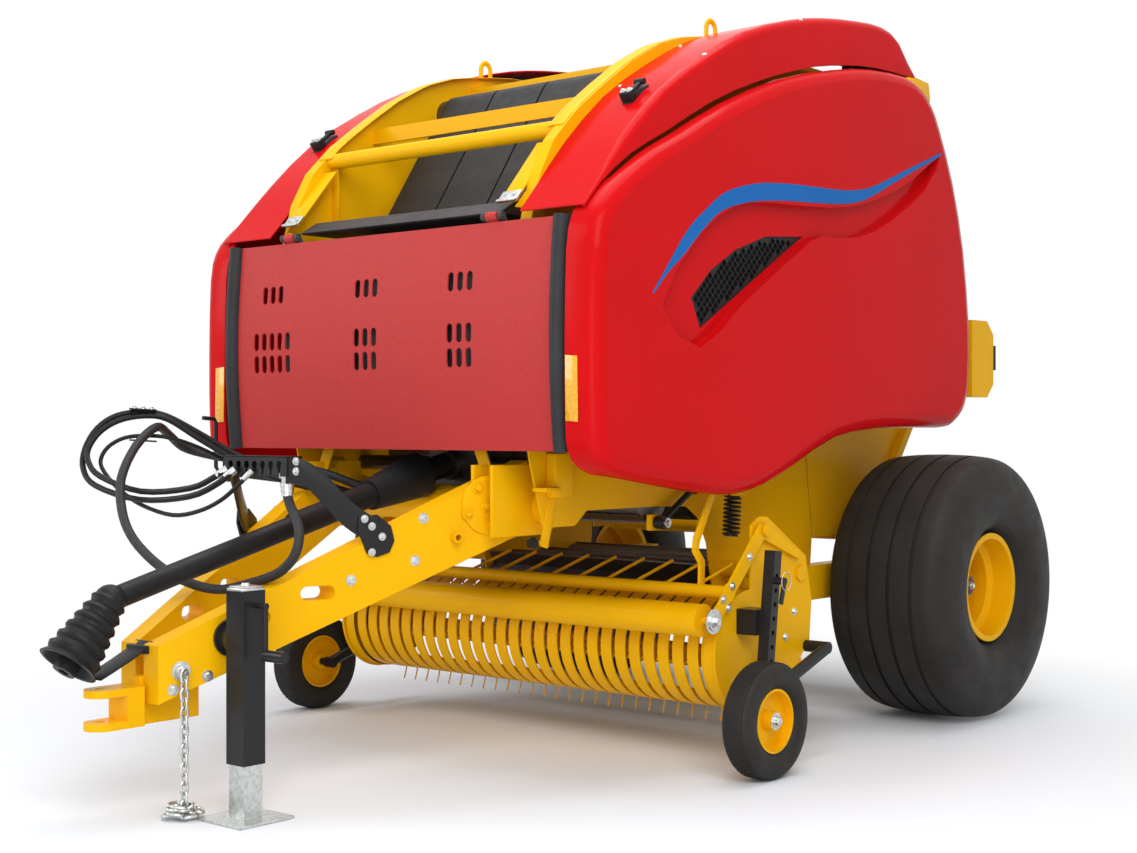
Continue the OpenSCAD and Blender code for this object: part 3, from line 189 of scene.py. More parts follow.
def add_piece(name, bm, body, look, smooth=32, closed=True):
    """Makes an object of a bmesh, shades it, gives it its look's material and hangs it on a body."""
    if closed:
        bmesh.ops.recalc_face_normals(bm, faces=bm.faces[:])
    mesh = bpy.data.meshes.new(name)
    bm.to_mesh(mesh)
    bm.free()
    mesh.materials.append(finish(look))
    mesh.shade_smooth()
    mesh.set_sharp_from_angle(angle=math.radians(smooth))
    obj = bpy.data.objects.new(name, mesh)
    bpy.context.scene.collection.objects.link(obj)
    if body:
        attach(obj, body)
    return obj


def edges_of(verts):
    """The edges that meet some vertices, each once and in the same order every run."""
    return list(dict.fromkeys(edge for vert in verts for edge in vert.link_edges))


def verts_of(geom):
    """The vertices among what an operator made."""
    return [g for g in geom if isinstance(g, bmesh.types.BMVert)]


def soften(bm, edges, width, segments=2):
    """Rounds edges off."""
    bmesh.ops.bevel(bm, geom=edges, offset=width, offset_type="OFFSET", segments=segments,
                    profile=0.5, affect="EDGES", clamp_overlap=True, material=-1)


def add_round(bm, base, axis, low_r, high_r, height, sides=24):
    """A cylinder or cone frustum on base, along axis."""
    turn = UP.rotation_difference(Vector(axis)).to_matrix().to_4x4()
    place = Matrix.Translation(base) @ turn @ Matrix.Translation((0, 0, height / 2))
    return bmesh.ops.create_cone(
        bm, cap_ends=True, cap_tris=False, segments=sides, radius1=low_r, radius2=high_r,
        depth=height, matrix=place)["verts"]


def add_block(bm, place, edge):
    """A unit cube set in place by a matrix, with its edges rounded."""
    made = bmesh.ops.create_cube(bm, size=1, matrix=place)["verts"]
    if edge:
        soften(bm, edges_of(made), edge)


def add_box(bm, low, high, edge):
    """A box between two corners."""
    low, high = Vector(low), Vector(high)
    add_block(bm, Matrix.Translation((low + high) / 2) @ Matrix.Diagonal((*(high - low), 1)), edge)


def add_bar(bm, x, half, low, high, edge):
    """A box about x, between two corners given as y and z from the wheel axle."""
    add_box(bm, at(x - half, *low), at(x + half, *high), edge)


def add_slab(bm, middle, along, up, size, edge=0.0):
    """A box about its middle, its length along one way and its height along another."""
    along, up = Vector(along).normalized(), Vector(up).normalized()
    across = up.cross(along).normalized()
    turn = Matrix((along, across, along.cross(across))).transposed().to_4x4()
    add_block(bm, Matrix.Translation(middle) @ turn @ Matrix.Diagonal((*size, 1)), edge)


def add_bolt(bm, base, axis, radius, washer=1.7):
    """A hexagon head on its washer, in shares of the head's radius."""
    base, axis = Vector(base), Vector(axis).normalized()
    add_round(bm, base, axis, radius * washer, radius * washer * 0.97, radius * 0.22, 20)
    head = add_round(bm, base + axis * radius * 0.2, axis, radius, radius, radius * 0.8, 6)
    top = [edge for edge in edges_of(head)
           if all((vert.co - base).dot(axis) > radius * 0.9 for vert in edge.verts)]
    soften(bm, top, radius * 0.12, 1)


def add_plate(bm, outline, depth, edge=0.0):
    """A flat outline drawn out along depth, with its rims rounded."""
    face = bm.faces.new([bm.verts.new(p) for p in outline])
    far = verts_of(bmesh.ops.extrude_face_region(bm, geom=[face])["geom"])
    bmesh.ops.translate(bm, vec=depth, verts=far)
    if edge:
        soften(bm, edges_of(far + list(face.verts)), edge)


def add_ring(bm, base, axis, inner, outer, height, sides=32):
    """A washer or sleeve round an axis."""
    base, axis = Vector(base), Vector(axis).normalized()
    out = axis.orthogonal().normalized()
    corners = ((inner, 0), (outer, 0), (outer, height), (inner, height))
    verts = [bm.verts.new(base + out * r + axis * h) for r, h in corners]
    edges = [bm.edges.new((verts[i], verts[i - 1])) for i in range(len(verts))]
    bmesh.ops.spin(bm, geom=verts + edges, cent=base, axis=axis, dvec=(0, 0, 0),
                   angle=math.tau, steps=sides, use_merge=True, use_duplicate=False)


def add_pipe(bm, line, radius, sides, shape=(1, 1), closed=False):
    """A bar swept along a line; shape stretches its section."""
    spots = [Vector(p) for p in line]
    last = len(spots) - 1
    ways = []
    for i in range(last + 1):
        before = spots[last - 1] if closed and i == 0 else spots[max(i - 1, 0)]
        after = spots[1] if closed and i == last else spots[min(i + 1, last)]
        ways.append((after - before).normalized())
    turn = UP.rotation_difference(ways[0])
    place = Matrix.Translation(spots[0]) @ turn.to_matrix().to_4x4()
    first = bmesh.ops.create_circle(
        bm, cap_ends=not closed, segments=sides, radius=radius,
        matrix=place @ Matrix.Diagonal((*shape, 1, 1)))["verts"]
    ring = edges_of(first)
    for i in range(1, last + 1):
        turn = ways[i - 1].rotation_difference(ways[i]) @ turn
        after = Matrix.Translation(spots[i]) @ turn.to_matrix().to_4x4()
        made = bmesh.ops.extrude_edge_only(bm, edges=ring)["geom"]
        new = verts_of(made)
        ring = [g for g in made if isinstance(g, bmesh.types.BMEdge) and set(g.verts) <= set(new)]
        bmesh.ops.transform(bm, matrix=after @ place.inverted(), verts=new)
        place = after
    if closed:
        bmesh.ops.remove_doubles(bm, verts=first + new, dist=0.01 * MM)
    else:
        bmesh.ops.edgeloop_fill(bm, edges=ring)


def flow(points, parts):
    """A smooth open line through points, each stretch in so many parts."""
    line = []
    last = len(points) - 1
    for i in range(last):
        a, b = points[max(i - 1, 0)], points[i]
        c, d = points[i + 1], points[min(i + 2, last)]
        for k in range(parts):
            t = k / parts
            line.append(0.5 * (2 * b + (c - a) * t + (2 * a - 5 * b + 4 * c - d) * t * t
                               + (3 * b - a - 3 * c + d) * t * t * t))
    line.append(points[last])
    return line


# the frame's own surfaces

TREES = {}


def node_mesh(node):
    """A merged copy of a node's own mesh."""
    bm = bmesh.new()
    bm.from_mesh(frame["nodes"][node].data)
    bmesh.ops.remove_doubles(bm, verts=bm.verts[:], dist=0.02 * MM)
    return bm


def node_tree(node):
    if node not in TREES:
        bm = node_mesh(node)
        TREES[node] = BVHTree.FromBMesh(bm)
        bm.free()
    return TREES[node]


def hit(node, start, way):
    """Where a ray first meets a node, or None."""
    return node_tree(node).ray_cast(start, way)[0]


def seat(node, place):
    """The nearest spot on a node's surface, and the way that it faces."""
    spot, facing, *_ = node_tree(node).find_nearest(place)
    return spot, facing


# materials


class Finish:
    """A node material with a Principled shader on Object coordinates."""

    # the stretch of a texture's value that shows
    MIDDLE = (0.3, 0.7)

    def __init__(self, name):
        self.material = bpy.data.materials.new(name)
        self.material.use_nodes = True
        self.tree = self.material.node_tree
        self.shader = self.tree.nodes["Principled BSDF"]
        self.coords = self.tree.nodes.new("ShaderNodeTexCoord").outputs["Object"]

    def set(self, **values):
        for socket, value in values.items():
            self.shader.inputs[socket.replace("_", " ")].default_value = value
        return self

    def node(self, kind, **values):
        made = self.tree.nodes.new(kind)
        for key, value in values.items():
            if key in made.inputs:
                made.inputs[key].default_value = value
            else:
                setattr(made, key, value)
        return made

    def link(self, a, b):
        self.tree.links.new(a, b)

    def stretched(self, scale):
        made = self.node("ShaderNodeMapping", Scale=scale)
        self.link(self.coords, made.inputs["Vector"])
        return made.outputs["Vector"]

    def noise(self, scale, detail=3.0):
        made = self.node("ShaderNodeTexNoise", Scale=scale, Detail=detail, Roughness=0.55)
        self.link(self.coords, made.inputs["Vector"])
        return made.outputs["Fac"]

    def cells(self, scale):
        made = self.node("ShaderNodeTexVoronoi", Scale=scale)
        self.link(self.coords, made.inputs["Vector"])
        return made.outputs["Distance"]

    def ramp(self, value, *stops):
        made = self.node("ShaderNodeValToRGB")
        for element, (place, colour) in zip(made.color_ramp.elements, stops):
            element.position, element.color = place, colour
        self.link(value, made.inputs["Fac"])
        return made.outputs["Color"]

    def spread(self, value, low, high, bottom, top):
        made = self.node("ShaderNodeMapRange")
        for key, number in zip(("From Min", "From Max", "To Min", "To Max"), (low, high, bottom, top)):
            made.inputs[key].default_value = number
        self.link(value, made.inputs["Value"])
        return made.outputs["Result"]

    def combine(self, a, b, how):
        made = self.node("ShaderNodeMath", operation=how)
        self.link(a, made.inputs[0])
        self.link(b, made.inputs[1])
        return made.outputs["Value"]

    def colour(self, value, base, shade):
        """Base colour that varies by a share of itself with a value."""
        dark = tuple(c * (1 - shade) for c in base[:3]) + (1,)
        light = tuple(min(1, c * (1 + shade)) for c in base[:3]) + (1,)
        low, high = self.MIDDLE
        self.link(self.ramp(value, (low, dark), (high, light)), self.shader.inputs["Base Color"])

    def roughness(self, value, low, high):
        self.link(self.spread(value, *self.MIDDLE, low, high), self.shader.inputs["Roughness"])

    def bump(self, value, height, strength, rounding=0.0):
        made = self.node("ShaderNodeBump", Strength=strength, Distance=height)
        self.link(value, made.inputs["Height"])
        if rounding:
            edge = self.node("ShaderNodeBevel", Radius=rounding, samples=4)
            self.link(edge.outputs["Normal"], made.inputs["Normal"])
        self.link(made.outputs["Normal"], self.shader.inputs["Normal"])


def paint(name, base, low, high, coat, shine):
    """Gloss enamel with a faint orange peel and edges that catch the light."""
    made = Finish(name)
    made.colour(made.noise(2.3), base, 0.035)
    made.roughness(made.noise(9.0), low, high)
    made.bump(made.noise(210.0, 2.0), 0.05 * MM, 0.25, sizes().edge_round)
    return made.set(Coat_Weight=coat, Coat_Roughness=0.08, IOR=1.5, Specular_IOR_Level=shine).material


def grained(name, base):
    """Moulded sheet with a pebbled grain."""
    made = Finish(name)
    made.colour(made.noise(340.0, 2.0), base, 0.16)
    made.roughness(made.noise(120.0), 0.40, 0.52)
    made.bump(made.cells(190.0), 0.5 * MM, 0.55, sizes().edge_round)
    return made.set(IOR=1.5, Specular_IOR_Level=0.16).material


def plastic(name, base, low=0.38, high=0.5):
    """Black moulded plastic."""
    made = Finish(name)
    made.colour(made.noise(6.0), base, 0.12)
    made.roughness(made.noise(30.0), low, high)
    made.bump(made.noise(380.0, 2.0), 0.1 * MM, 0.4, 1.5 * MM)
    return made.set(IOR=1.46, Specular_IOR_Level=0.18).material


def tyre_rubber(name, base):
    """Dull rubber with a bloom and fine grain."""
    made = Finish(name)
    made.colour(made.noise(5.0, 5.0), base, 0.22)
    made.roughness(made.noise(14.0), 0.52, 0.68)
    made.bump(made.noise(260.0, 3.0), 0.25 * MM, 0.5, 2 * MM)
    return made.set(IOR=1.5, Specular_IOR_Level=0.2).material


def belt_rubber(name, base):
    """Belting with a diamond tread."""
    made = Finish(name)
    waves = []
    for turn in (math.radians(45), math.radians(-45)):
        mapped = made.node("ShaderNodeMapping", Rotation=(turn, 0, turn))
        made.link(made.coords, mapped.inputs["Vector"])
        wave = made.node("ShaderNodeTexWave", Scale=38.0, Distortion=0.0)
        made.link(mapped.outputs["Vector"], wave.inputs["Vector"])
        waves.append(wave.outputs["Fac"])
    ridges = made.combine(*waves, "MAXIMUM")
    made.colour(made.noise(7.0), base, 0.2)
    made.roughness(made.noise(22.0), 0.55, 0.7)
    made.bump(ridges, 1.0 * MM, 0.6)
    return made.set(IOR=1.5, Specular_IOR_Level=0.4).material


def metal(name, base, low=0.25, high=0.42):
    """Plated or bare steel with a spangle."""
    made = Finish(name)
    made.colour(made.cells(70.0), base, 0.10)
    made.roughness(made.noise(26.0), low, high)
    made.bump(made.noise(150.0), 0.08 * MM, 0.4, 1.0 * MM)
    return made.set(Metallic=1.0).material


def braid(name, base):
    """Woven sleeve of a harness."""
    made = Finish(name)
    weave = made.cells(420.0)
    made.colour(weave, base, 0.35)
    made.roughness(made.noise(60.0), 0.55, 0.7)
    made.bump(weave, 0.8 * MM, 0.7)
    return made.set(IOR=1.45).material


def reflector(name, base):
    """Reflector tape with a honeycomb under a clear face."""
    made = Finish(name)
    made.colour(made.cells(150.0), base, 0.14)
    made.roughness(made.noise(40.0), 0.18, 0.26)
    made.bump(made.cells(150.0), 0.3 * MM, 0.35)
    return made.set(IOR=1.5, Coat_Weight=0.6).material


def clear_lens(name, base):
    """Ribbed lamp lens."""
    made = Finish(name)
    wave = made.node("ShaderNodeTexWave", Scale=60.0)
    made.link(made.coords, wave.inputs["Vector"])
    made.colour(made.noise(8.0), base, 0.1)
    made.roughness(made.noise(30.0), 0.10, 0.18)
    made.bump(wave.outputs["Fac"], 0.4 * MM, 0.4)
    return made.set(IOR=1.5, Coat_Weight=0.5).material


# the look of each piece

FINISHES = {}
MAKERS = {
    "red_paint": lambda name: paint(name, colours().red, 0.14, 0.22, 0.03, shine=0.04),
    "panel_red": lambda name: grained(name, colours().panel_red),
    "yellow_paint": lambda name: paint(name, colours().yellow, 0.30, 0.40, 0.03, shine=0.07),
    "blue_film": lambda name: paint(name, colours().blue, 0.2, 0.28, 0.03, shine=0.05),
    "amber_tape": lambda name: reflector(name, colours().amber),
    "black_paint": lambda name: paint(name, colours().black, 0.28, 0.4, 0.08, shine=0.22),
    "black_plastic": lambda name: plastic(name, colours().black),
    "grey_sheet": lambda name: plastic(name, (0.055, 0.053, 0.056, 1), 0.5, 0.65),
    "seal_rubber": lambda name: plastic(name, (0.030, 0.031, 0.034, 1), 0.42, 0.55),
    "belt_rubber": lambda name: belt_rubber(name, (0.013, 0.012, 0.012, 1)),
    "tyre_rubber": lambda name: tyre_rubber(name, colours().rubber),
    "zinc": lambda name: metal(name, colours().zinc),
    "dark_steel": lambda name: metal(name, (0.13, 0.12, 0.115, 1), 0.35, 0.5),
    "braid": lambda name: braid(name, (0.016, 0.016, 0.017, 1)),
    "hose_rubber": lambda name: plastic(name, (0.015, 0.015, 0.016, 1), 0.36, 0.46),
    "red_lens": lambda name: clear_lens(name, (0.45, 0.008, 0.008, 1)),
    # painted shade: near-black sheet behind the grilles, standing for the shade inside the machine
    "grille_dark": lambda name: plastic(name, (0.006, 0.006, 0.007, 1), 0.6, 0.75),
}


def finish(name):
    """The named finish, made when it is first asked for."""
    if name not in FINISHES:
        FINISHES[name] = MAKERS[name](name)
    return FINISHES[name]


NODE_FINISHES = {
    "yellow_paint": (
        "wall_left", "wall_right", "crossmembers", "axle", "tongue_left", "tongue_right", "hitch",
        "rim_left", "rim_right", "tailgate_left", "tailgate_right", "tailgate_tubes",
        "lamp_brackets", "pickup_plates", "pickup_tubes", "band_guard", "windguard",
        "wind_roller", "gauge_rim_left", "gauge_rim_right", "tine_reel"),
    "red_paint": (
        "shoulder_left", "shoulder_right", "shield_left", "shield_right", "shield_rim_left",
        "shield_rim_right"),
    "panel_red": ("front_panel",),
    "black_paint": ("jack_body", "hose_holder", "shield_brackets", "gauge_arms"),
    "black_plastic": ("drive_shaft", "drive_boots", "grille_left", "grille_right"),
    "seal_rubber": ("panel_seals",),
    "belt_rubber": ("front_belts", "tailgate_belts"),
    "tyre_rubber": ("tyre_left", "tyre_right", "gauge_tyre_left", "gauge_tyre_right"),
    "zinc": ("jack_leg", "safety_chain"),
    "dark_steel": ("gearbox", "feed_rotor", "chamber_rolls", "tailgate_rollers"),
    "grey_sheet": ("wrap_box",),
    "red_lens": ("tail_lenses",),
}

# cords: routes from the middle of the wheel axle, in metres

HARNESS_ROUTE = (
    (-0.222, -2.092, 0.967), (-0.27, -2.17, 0.99), (-0.36, -2.26, 1.036), (-0.52, -2.35, 1.073),
    (-0.70, -2.41, 1.085), (-0.80, -2.45, 1.10), (-0.83, -2.54, 1.128), (-0.76, -2.66, 1.178),
    (-0.655, -2.79, 1.205), (-0.58, -2.93, 1.14), (-0.518, -3.035, 1.03), (-0.45, -3.08, 0.925),
    (-0.372, -3.1, 0.845), (-0.275, -3.1, 0.778), (-0.18, -3.08, 0.724), (-0.085, -3.05, 0.69),
    (0.015, -3.02, 0.680), (0.115, -2.98, 0.705), (0.205, -2.95, 0.738), (0.258, -2.93, 0.79),
    (0.262, -2.91, 0.85), (0.228, -2.89, 0.905), (0.178, -2.875, 0.95), (0.155, -2.868, 0.985))
HOSE_ROUTES = {
    "hose_left": (
        (-.258, -2.090, .935), (-.25, -2.19, .945), (-.275, -2.30, .968), (-.35, -2.40, .995),
        (-.435, -2.48, 1.035), (-.512, -2.56, 1.09), (-.58, -2.66, 1.163), (-.64, -2.755, 1.234),
        (-.685, -2.825, 1.245), (-.735, -2.895, 1.228), (-.762, -2.955, 1.187), (-.764, -3.0, 1.13),
        (-.735, -3.02, 1.083), (-.66, -3.022, 1.033), (-.46, -2.997, .985), (-.23, -2.965, 1.0),
        (-.13, -2.938, 1.04), (-.097, -2.9087, 1.068)),
    "hose_right": (
        (-.30, -2.090, .952), (-.285, -2.19, .965), (-.295, -2.29, .992), (-.36, -2.385, 1.028),
        (-.455, -2.465, 1.062), (-.54, -2.54, 1.112), (-.605, -2.64, 1.183), (-.664, -2.742, 1.246),
        (-.708, -2.812, 1.259), (-.760, -2.885, 1.246), (-.788, -2.948, 1.2), (-.790, -2.997, 1.128),
        (-.758, -3.025, 1.056), (-.675, -3.03, 1.0), (-.46, -3.004, .957), (-.22, -2.974, .973),
        (-.10, -2.943, 1.022), (-.0555, -2.9087, 1.068)),
    "hose_thin": (
        (-.338, -2.090, .94), (-.325, -2.19, .96), (-.325, -2.28, .985), (-.375, -2.37, 1.006),
        (-.475, -2.45, 1.026), (-.548, -2.535, 1.07), (-.605, -2.64, 1.13), (-.645, -2.74, 1.166),
        (-.685, -2.815, 1.174), (-.722, -2.88, 1.166), (-.742, -2.935, 1.133), (-.735, -2.97, 1.085),
        (-.69, -2.98, 1.04), (-.60, -2.982, .985), (-.474, -2.98, .936), (-.31, -2.977, .908),
        (-.186, -2.965, .924), (-.087, -2.95, .962), (-.015, -2.932, 1.015), (.027, -2.906, 1.066)),
}
HOOK_LINE = (
    (-0.603, -2.125, 1.0), (-0.70, -2.20, 1.0), (-0.80, -2.28, 1.016), (-0.872, -2.34, 1.03),
    (-0.882, -2.348, 1.05), (-0.882, -2.348, 1.22), (-0.882, -2.356, 1.236), (-0.882, -2.41, 1.24))


CORD_PARTS, CORD_ROUNDING = 4, 3


def add_cord(name, route, diameter, body, look, **facts):
    """A hose as one smooth curve through its route."""
    line = flow([at(*p) for p in route], CORD_PARTS)
    data = bpy.data.curves.new(name, "CURVE")
    data.dimensions = "3D"
    data.bevel_depth = diameter / 2
    data.bevel_resolution = CORD_ROUNDING
    data.use_fill_caps = True
    spline = data.splines.new("POLY")
    spline.points.add(len(line) - 1)
    for point, place in zip(spline.points, line):
        point.co = (*place, 1)
    data.materials.append(finish(look))
    obj = bpy.data.objects.new(name, data)
    bpy.context.scene.collection.objects.link(obj)
    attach(obj, body)


# the left tongue beam's outer face: x and y of its front end, and its run to the rear

BEAM_TIP, BEAM_RUN = (0.095, -3.330), (0.410, 1.240)
BEAM_ALONG = Vector((*BEAM_RUN, 0)).normalized()
BEAM_OUT = Vector((BEAM_RUN[1], -BEAM_RUN[0], 0)).normalized()


def beam_face(y, z, out=0.0):
    """A spot on the outer face of the left tongue beam."""
    share = (y - BEAM_TIP[1]) / BEAM_RUN[1]
    return at(BEAM_TIP[0] + BEAM_RUN[0] * share, y, z) + BEAM_OUT * out


# operators: a tuple named after a form holds what its add_ function takes last,
# and the numbers handed to off() are millimetres


class BALER_OT_stage(bpy.types.Operator):
    """Pale floor, soft studio light and the camera"""

    bl_idname = "baler.stage"
    bl_label = "Studio"

    CAMERA_PLACE = (4.483, -6.529, 1.207)
    CAMERA_TURN = (math.radians(90), 0, math.radians(40.5))
    LENS, SENSOR = 54.52, 36.0
    WHITE = (1, 1, 1, 1)
    FLOOR_TINT = (0.86, 0.90, 0.95, 1)
    FLOOR_HALF, FLOOR_DROP = 60, 2 * MM
    # the floor keeps its shadow up to the first reach, and is plain white from the second
    SHADOW_REACH, SHADOW_STRETCH = (1.5, 3.0), (1, 0.8, 0)
    ROOM_LIGHT = 0.42
    SEEN_RAYS = ("Is Camera Ray", "Is Glossy Ray", "Is Transmission Ray")
    LAMP_AIM = Vector((0, 0, 1.1))
    # name, place, width in metres and power in watts
    LAMPS = (("key", (5.5, -4.5, 5.5), 4.5, 330), ("left", (-5.0, -5.5, 4.0), 4.0, 150),
             ("top", (0.0, 0.0, 7.0), 5.0, 260), ("low", (3.5, -6.5, 1.2), 3.0, 70))

    def execute(self, context):
        context.scene.view_settings.view_transform = "Standard"
        self.camera(context.scene)
        self.floor()
        self.world(context.scene)
        self.lamps(context.scene)
        return {"FINISHED"}

    def camera(self, scene):
        data = bpy.data.cameras.new("camera")
        data.lens, data.sensor_width = self.LENS, self.SENSOR
        camera = bpy.data.objects.new("camera", data)
        camera.location = at(*self.CAMERA_PLACE)
        camera.rotation_euler = self.CAMERA_TURN
        scene.collection.objects.link(camera)
        scene.camera = camera

    def floor(self):
        bm = bmesh.new()
        bmesh.ops.create_grid(bm, x_segments=1, y_segments=1, size=self.FLOOR_HALF)
        bmesh.ops.translate(bm, vec=(0, 0, -self.FLOOR_DROP), verts=bm.verts[:])
        made = Finish("floor")
        made.colour(made.noise(0.4), self.FLOOR_TINT, 0.01)
        made.set(Roughness=0.85)
        glow = made.node("ShaderNodeEmission", Color=self.WHITE, Strength=1.0)
        reach = made.node("ShaderNodeVectorMath", operation="LENGTH")
        made.link(made.stretched(self.SHADOW_STRETCH), reach.inputs[0])
        far = made.spread(reach.outputs["Value"], *self.SHADOW_REACH, 0.0, 1.0)
        share = made.combine(self.seen(made.tree), far, "MULTIPLY")
        self.blend(made.tree, share, made.shader.outputs["BSDF"], glow.outputs["Emission"],
                   "Material Output")
        FINISHES["floor"] = made.material
        add_piece("floor", bm, None, "floor", closed=False)

    def seen(self, tree):
        """1 for the rays that show the background, straight or by way of a surface."""
        path = tree.nodes.new("ShaderNodeLightPath")
        value = path.outputs[self.SEEN_RAYS[0]]
        for ray in self.SEEN_RAYS[1:]:
            most = tree.nodes.new("ShaderNodeMath")
            most.operation = "MAXIMUM"
            tree.links.new(value, most.inputs[0])
            tree.links.new(path.outputs[ray], most.inputs[1])
            value = most.outputs["Value"]
        return value

    def blend(self, tree, share, first, second, end):
        """Two shaders mixed by a share into an output node."""
        mix = tree.nodes.new("ShaderNodeMixShader")
        tree.links.new(share, mix.inputs["Fac"])
        tree.links.new(first, mix.inputs[1])
        tree.links.new(second, mix.inputs[2])
        tree.links.new(mix.outputs["Shader"], tree.nodes[end].inputs["Surface"])

    def world(self, scene):
        """A dim room for the light, and white where the background is seen."""
        scene.world = bpy.data.worlds.new("studio")
        scene.world.use_nodes = True
        tree = scene.world.node_tree
        room, bright = tree.nodes["Background"], tree.nodes.new("ShaderNodeBackground")
        for back, strength in ((room, self.ROOM_LIGHT), (bright, 1.0)):
            back.inputs["Color"].default_value = self.WHITE
            back.inputs["Strength"].default_value = strength
        self.blend(tree, self.seen(tree), room.outputs["Background"], bright.outputs["Background"],
                   "World Output")

    def lamps(self, scene):
        for name, place, width, power in self.LAMPS:
            data = bpy.data.lights.new(name, "AREA")
            data.size, data.energy = width, power
            lamp = bpy.data.objects.new(name, data)
            lamp.location = place
            lamp.rotation_euler = (self.LAMP_AIM - lamp.location).to_track_quat("-Z", "Y").to_euler()
            scene.collection.objects.link(lamp)


class BALER_OT_hoses(bpy.types.Operator):
    """Harness and hoses with their plug, couplings, hook and clamp"""

    bl_idname = "baler.hoses"
    bl_label = "Hoses"

    # start, radius and length of each round of the plug, in millimetres
    PLUG_ROUNDS = ((-4, 19, 16), (8, 21.5, 22), (28, 24.5, 8), (34, 20, 22), (54, 26, 18), (70, 22, 28))
    PLUG_TAPER = 0.97
    GRIPS, GRIP_REACH, GRIP_RISE, GRIP = 12, 26, 63, (mm(14, 4, 3), 0.6 * MM)
    # start before the hose's end in millimetres, radii as shares of the hose, length, sides
    COUPLING = ((-46, 0.60, 0.64, 30 * MM, 20), (-17, 0.70, 0.70, 14 * MM, 6))
    HOOK_RADIUS = 8 * MM
    CLAMP_PLACE = (-0.697, -2.818, 1.268)
    CLAMP_WAY = Vector((-0.045, -0.07, 0.005)).normalized()
    CLAMP, CLAMP_GAP = (mm(95, 62, 6), 2 * MM), 112
    CLAMP_PITCH, CLAMP_BOLT_RISE, CLAMP_BOLT = 30, 3, 8 * MM

    def execute(self, context):
        s = sizes()
        add_cord("harness_sleeve", HARNESS_ROUTE, s.harness_d, "chassis", "braid",
                 far_end="plug", stiffness="stiff", lay="hanging", with_pieces=[self.plug()])
        widths = {"hose_left": s.hose_d, "hose_right": s.hose_d, "hose_thin": s.lead_d}
        for name, route in HOSE_ROUTES.items():
            add_cord(name + "_tube", route, widths[name], "chassis", "hose_rubber",
                     far_end="object", stiffness="stiff", lay="hanging",
                     with_pieces=[self.coupling(name, route, widths[name])])
        bm = bmesh.new()
        add_pipe(bm, [at(*p) for p in HOOK_LINE], self.HOOK_RADIUS, 12)
        add_piece("hose_hook", bm, "chassis", "black_paint")
        self.clamp()
        return {"FINISHED"}

    def plug(self):
        """The round plug at the harness's end, up in the hose holder."""
        foot = at(*HARNESS_ROUTE[-1])
        bm = bmesh.new()
        for start, radius, length in self.PLUG_ROUNDS:
            add_round(bm, off(foot, (UP, start)), UP, radius * MM, radius * self.PLUG_TAPER * MM,
                      length * MM, 28)
        for i in range(self.GRIPS):
            turn = i * math.tau / self.GRIPS
            out = Vector((math.cos(turn), math.sin(turn), 0))
            add_slab(bm, off(foot, (out, self.GRIP_REACH), (UP, self.GRIP_RISE)), UP, out, *self.GRIP)
        return add_piece("harness_plug_body", bm, "chassis", "zinc")

    def coupling(self, name, route, width):
        """The crimped ferrule and nut on a hose's end."""
        end, before = at(*route[-1]), at(*route[-2])
        way = (end - before).normalized()
        bm = bmesh.new()
        for start, low, high, length, sides in self.COUPLING:
            add_round(bm, off(end, (way, start)), way, width * low, width * high, length, sides)
        return add_piece(name + "_coupling", bm, "chassis", "zinc")

    def clamp(self):
        """The plates with three bolts that hold the hoses together at their highest."""
        middle = at(*self.CLAMP_PLACE)
        bm, bolts = bmesh.new(), bmesh.new()
        for rise in (0, -self.CLAMP_GAP):
            add_slab(bm, off(middle, (UP, rise)), self.CLAMP_WAY, UP, *self.CLAMP)
        for k in (-1, 0, 1):
            spot = off(middle, (self.CLAMP_WAY, k * self.CLAMP_PITCH), (UP, self.CLAMP_BOLT_RISE))
            add_bolt(bolts, spot, UP, self.CLAMP_BOLT)
        add_piece("hose_clamp", bm, "chassis", "black_plastic")
        add_piece("hose_clamp_bolts", bolts, "chassis", "zinc")


class BALER_OT_finishes(bpy.types.Operator):
    """Paint, rubber and metal on the frame's own pieces"""

    bl_idname = "baler.finishes"
    bl_label = "Finishes"

    def execute(self, context):
        for name, nodes in NODE_FINISHES.items():
            for node in nodes:
                mesh = frame["nodes"][node].data
                mesh.materials.clear()
                mesh.materials.append(finish(name))
        return {"FINISHED"}


class BALER_OT_skins(bpy.types.Operator):
    """Smooth skins of the shields' rounded rims and the shoulders"""

    bl_idname = "baler.skins"
    bl_label = "Skins"

    PARTS = ("shield_rim", "shoulder")
    SHARP_ANGLE, AREA_WEIGHT = 34, 80

    def execute(self, context):
        for part in self.PARTS:
            for name in SIDES:
                node = part + "_" + name
                body = body_of(frame["nodes"][node])[0]
                skin = add_piece(node + "_skin", node_mesh(node), body, "red_paint",
                                 self.SHARP_ANGLE, closed=False)
                even = skin.modifiers.new("even", "WEIGHTED_NORMAL")
                even.mode, even.weight, even.keep_sharp = "FACE_AREA", self.AREA_WEIGHT, True
                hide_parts(node)
        return {"FINISHED"}


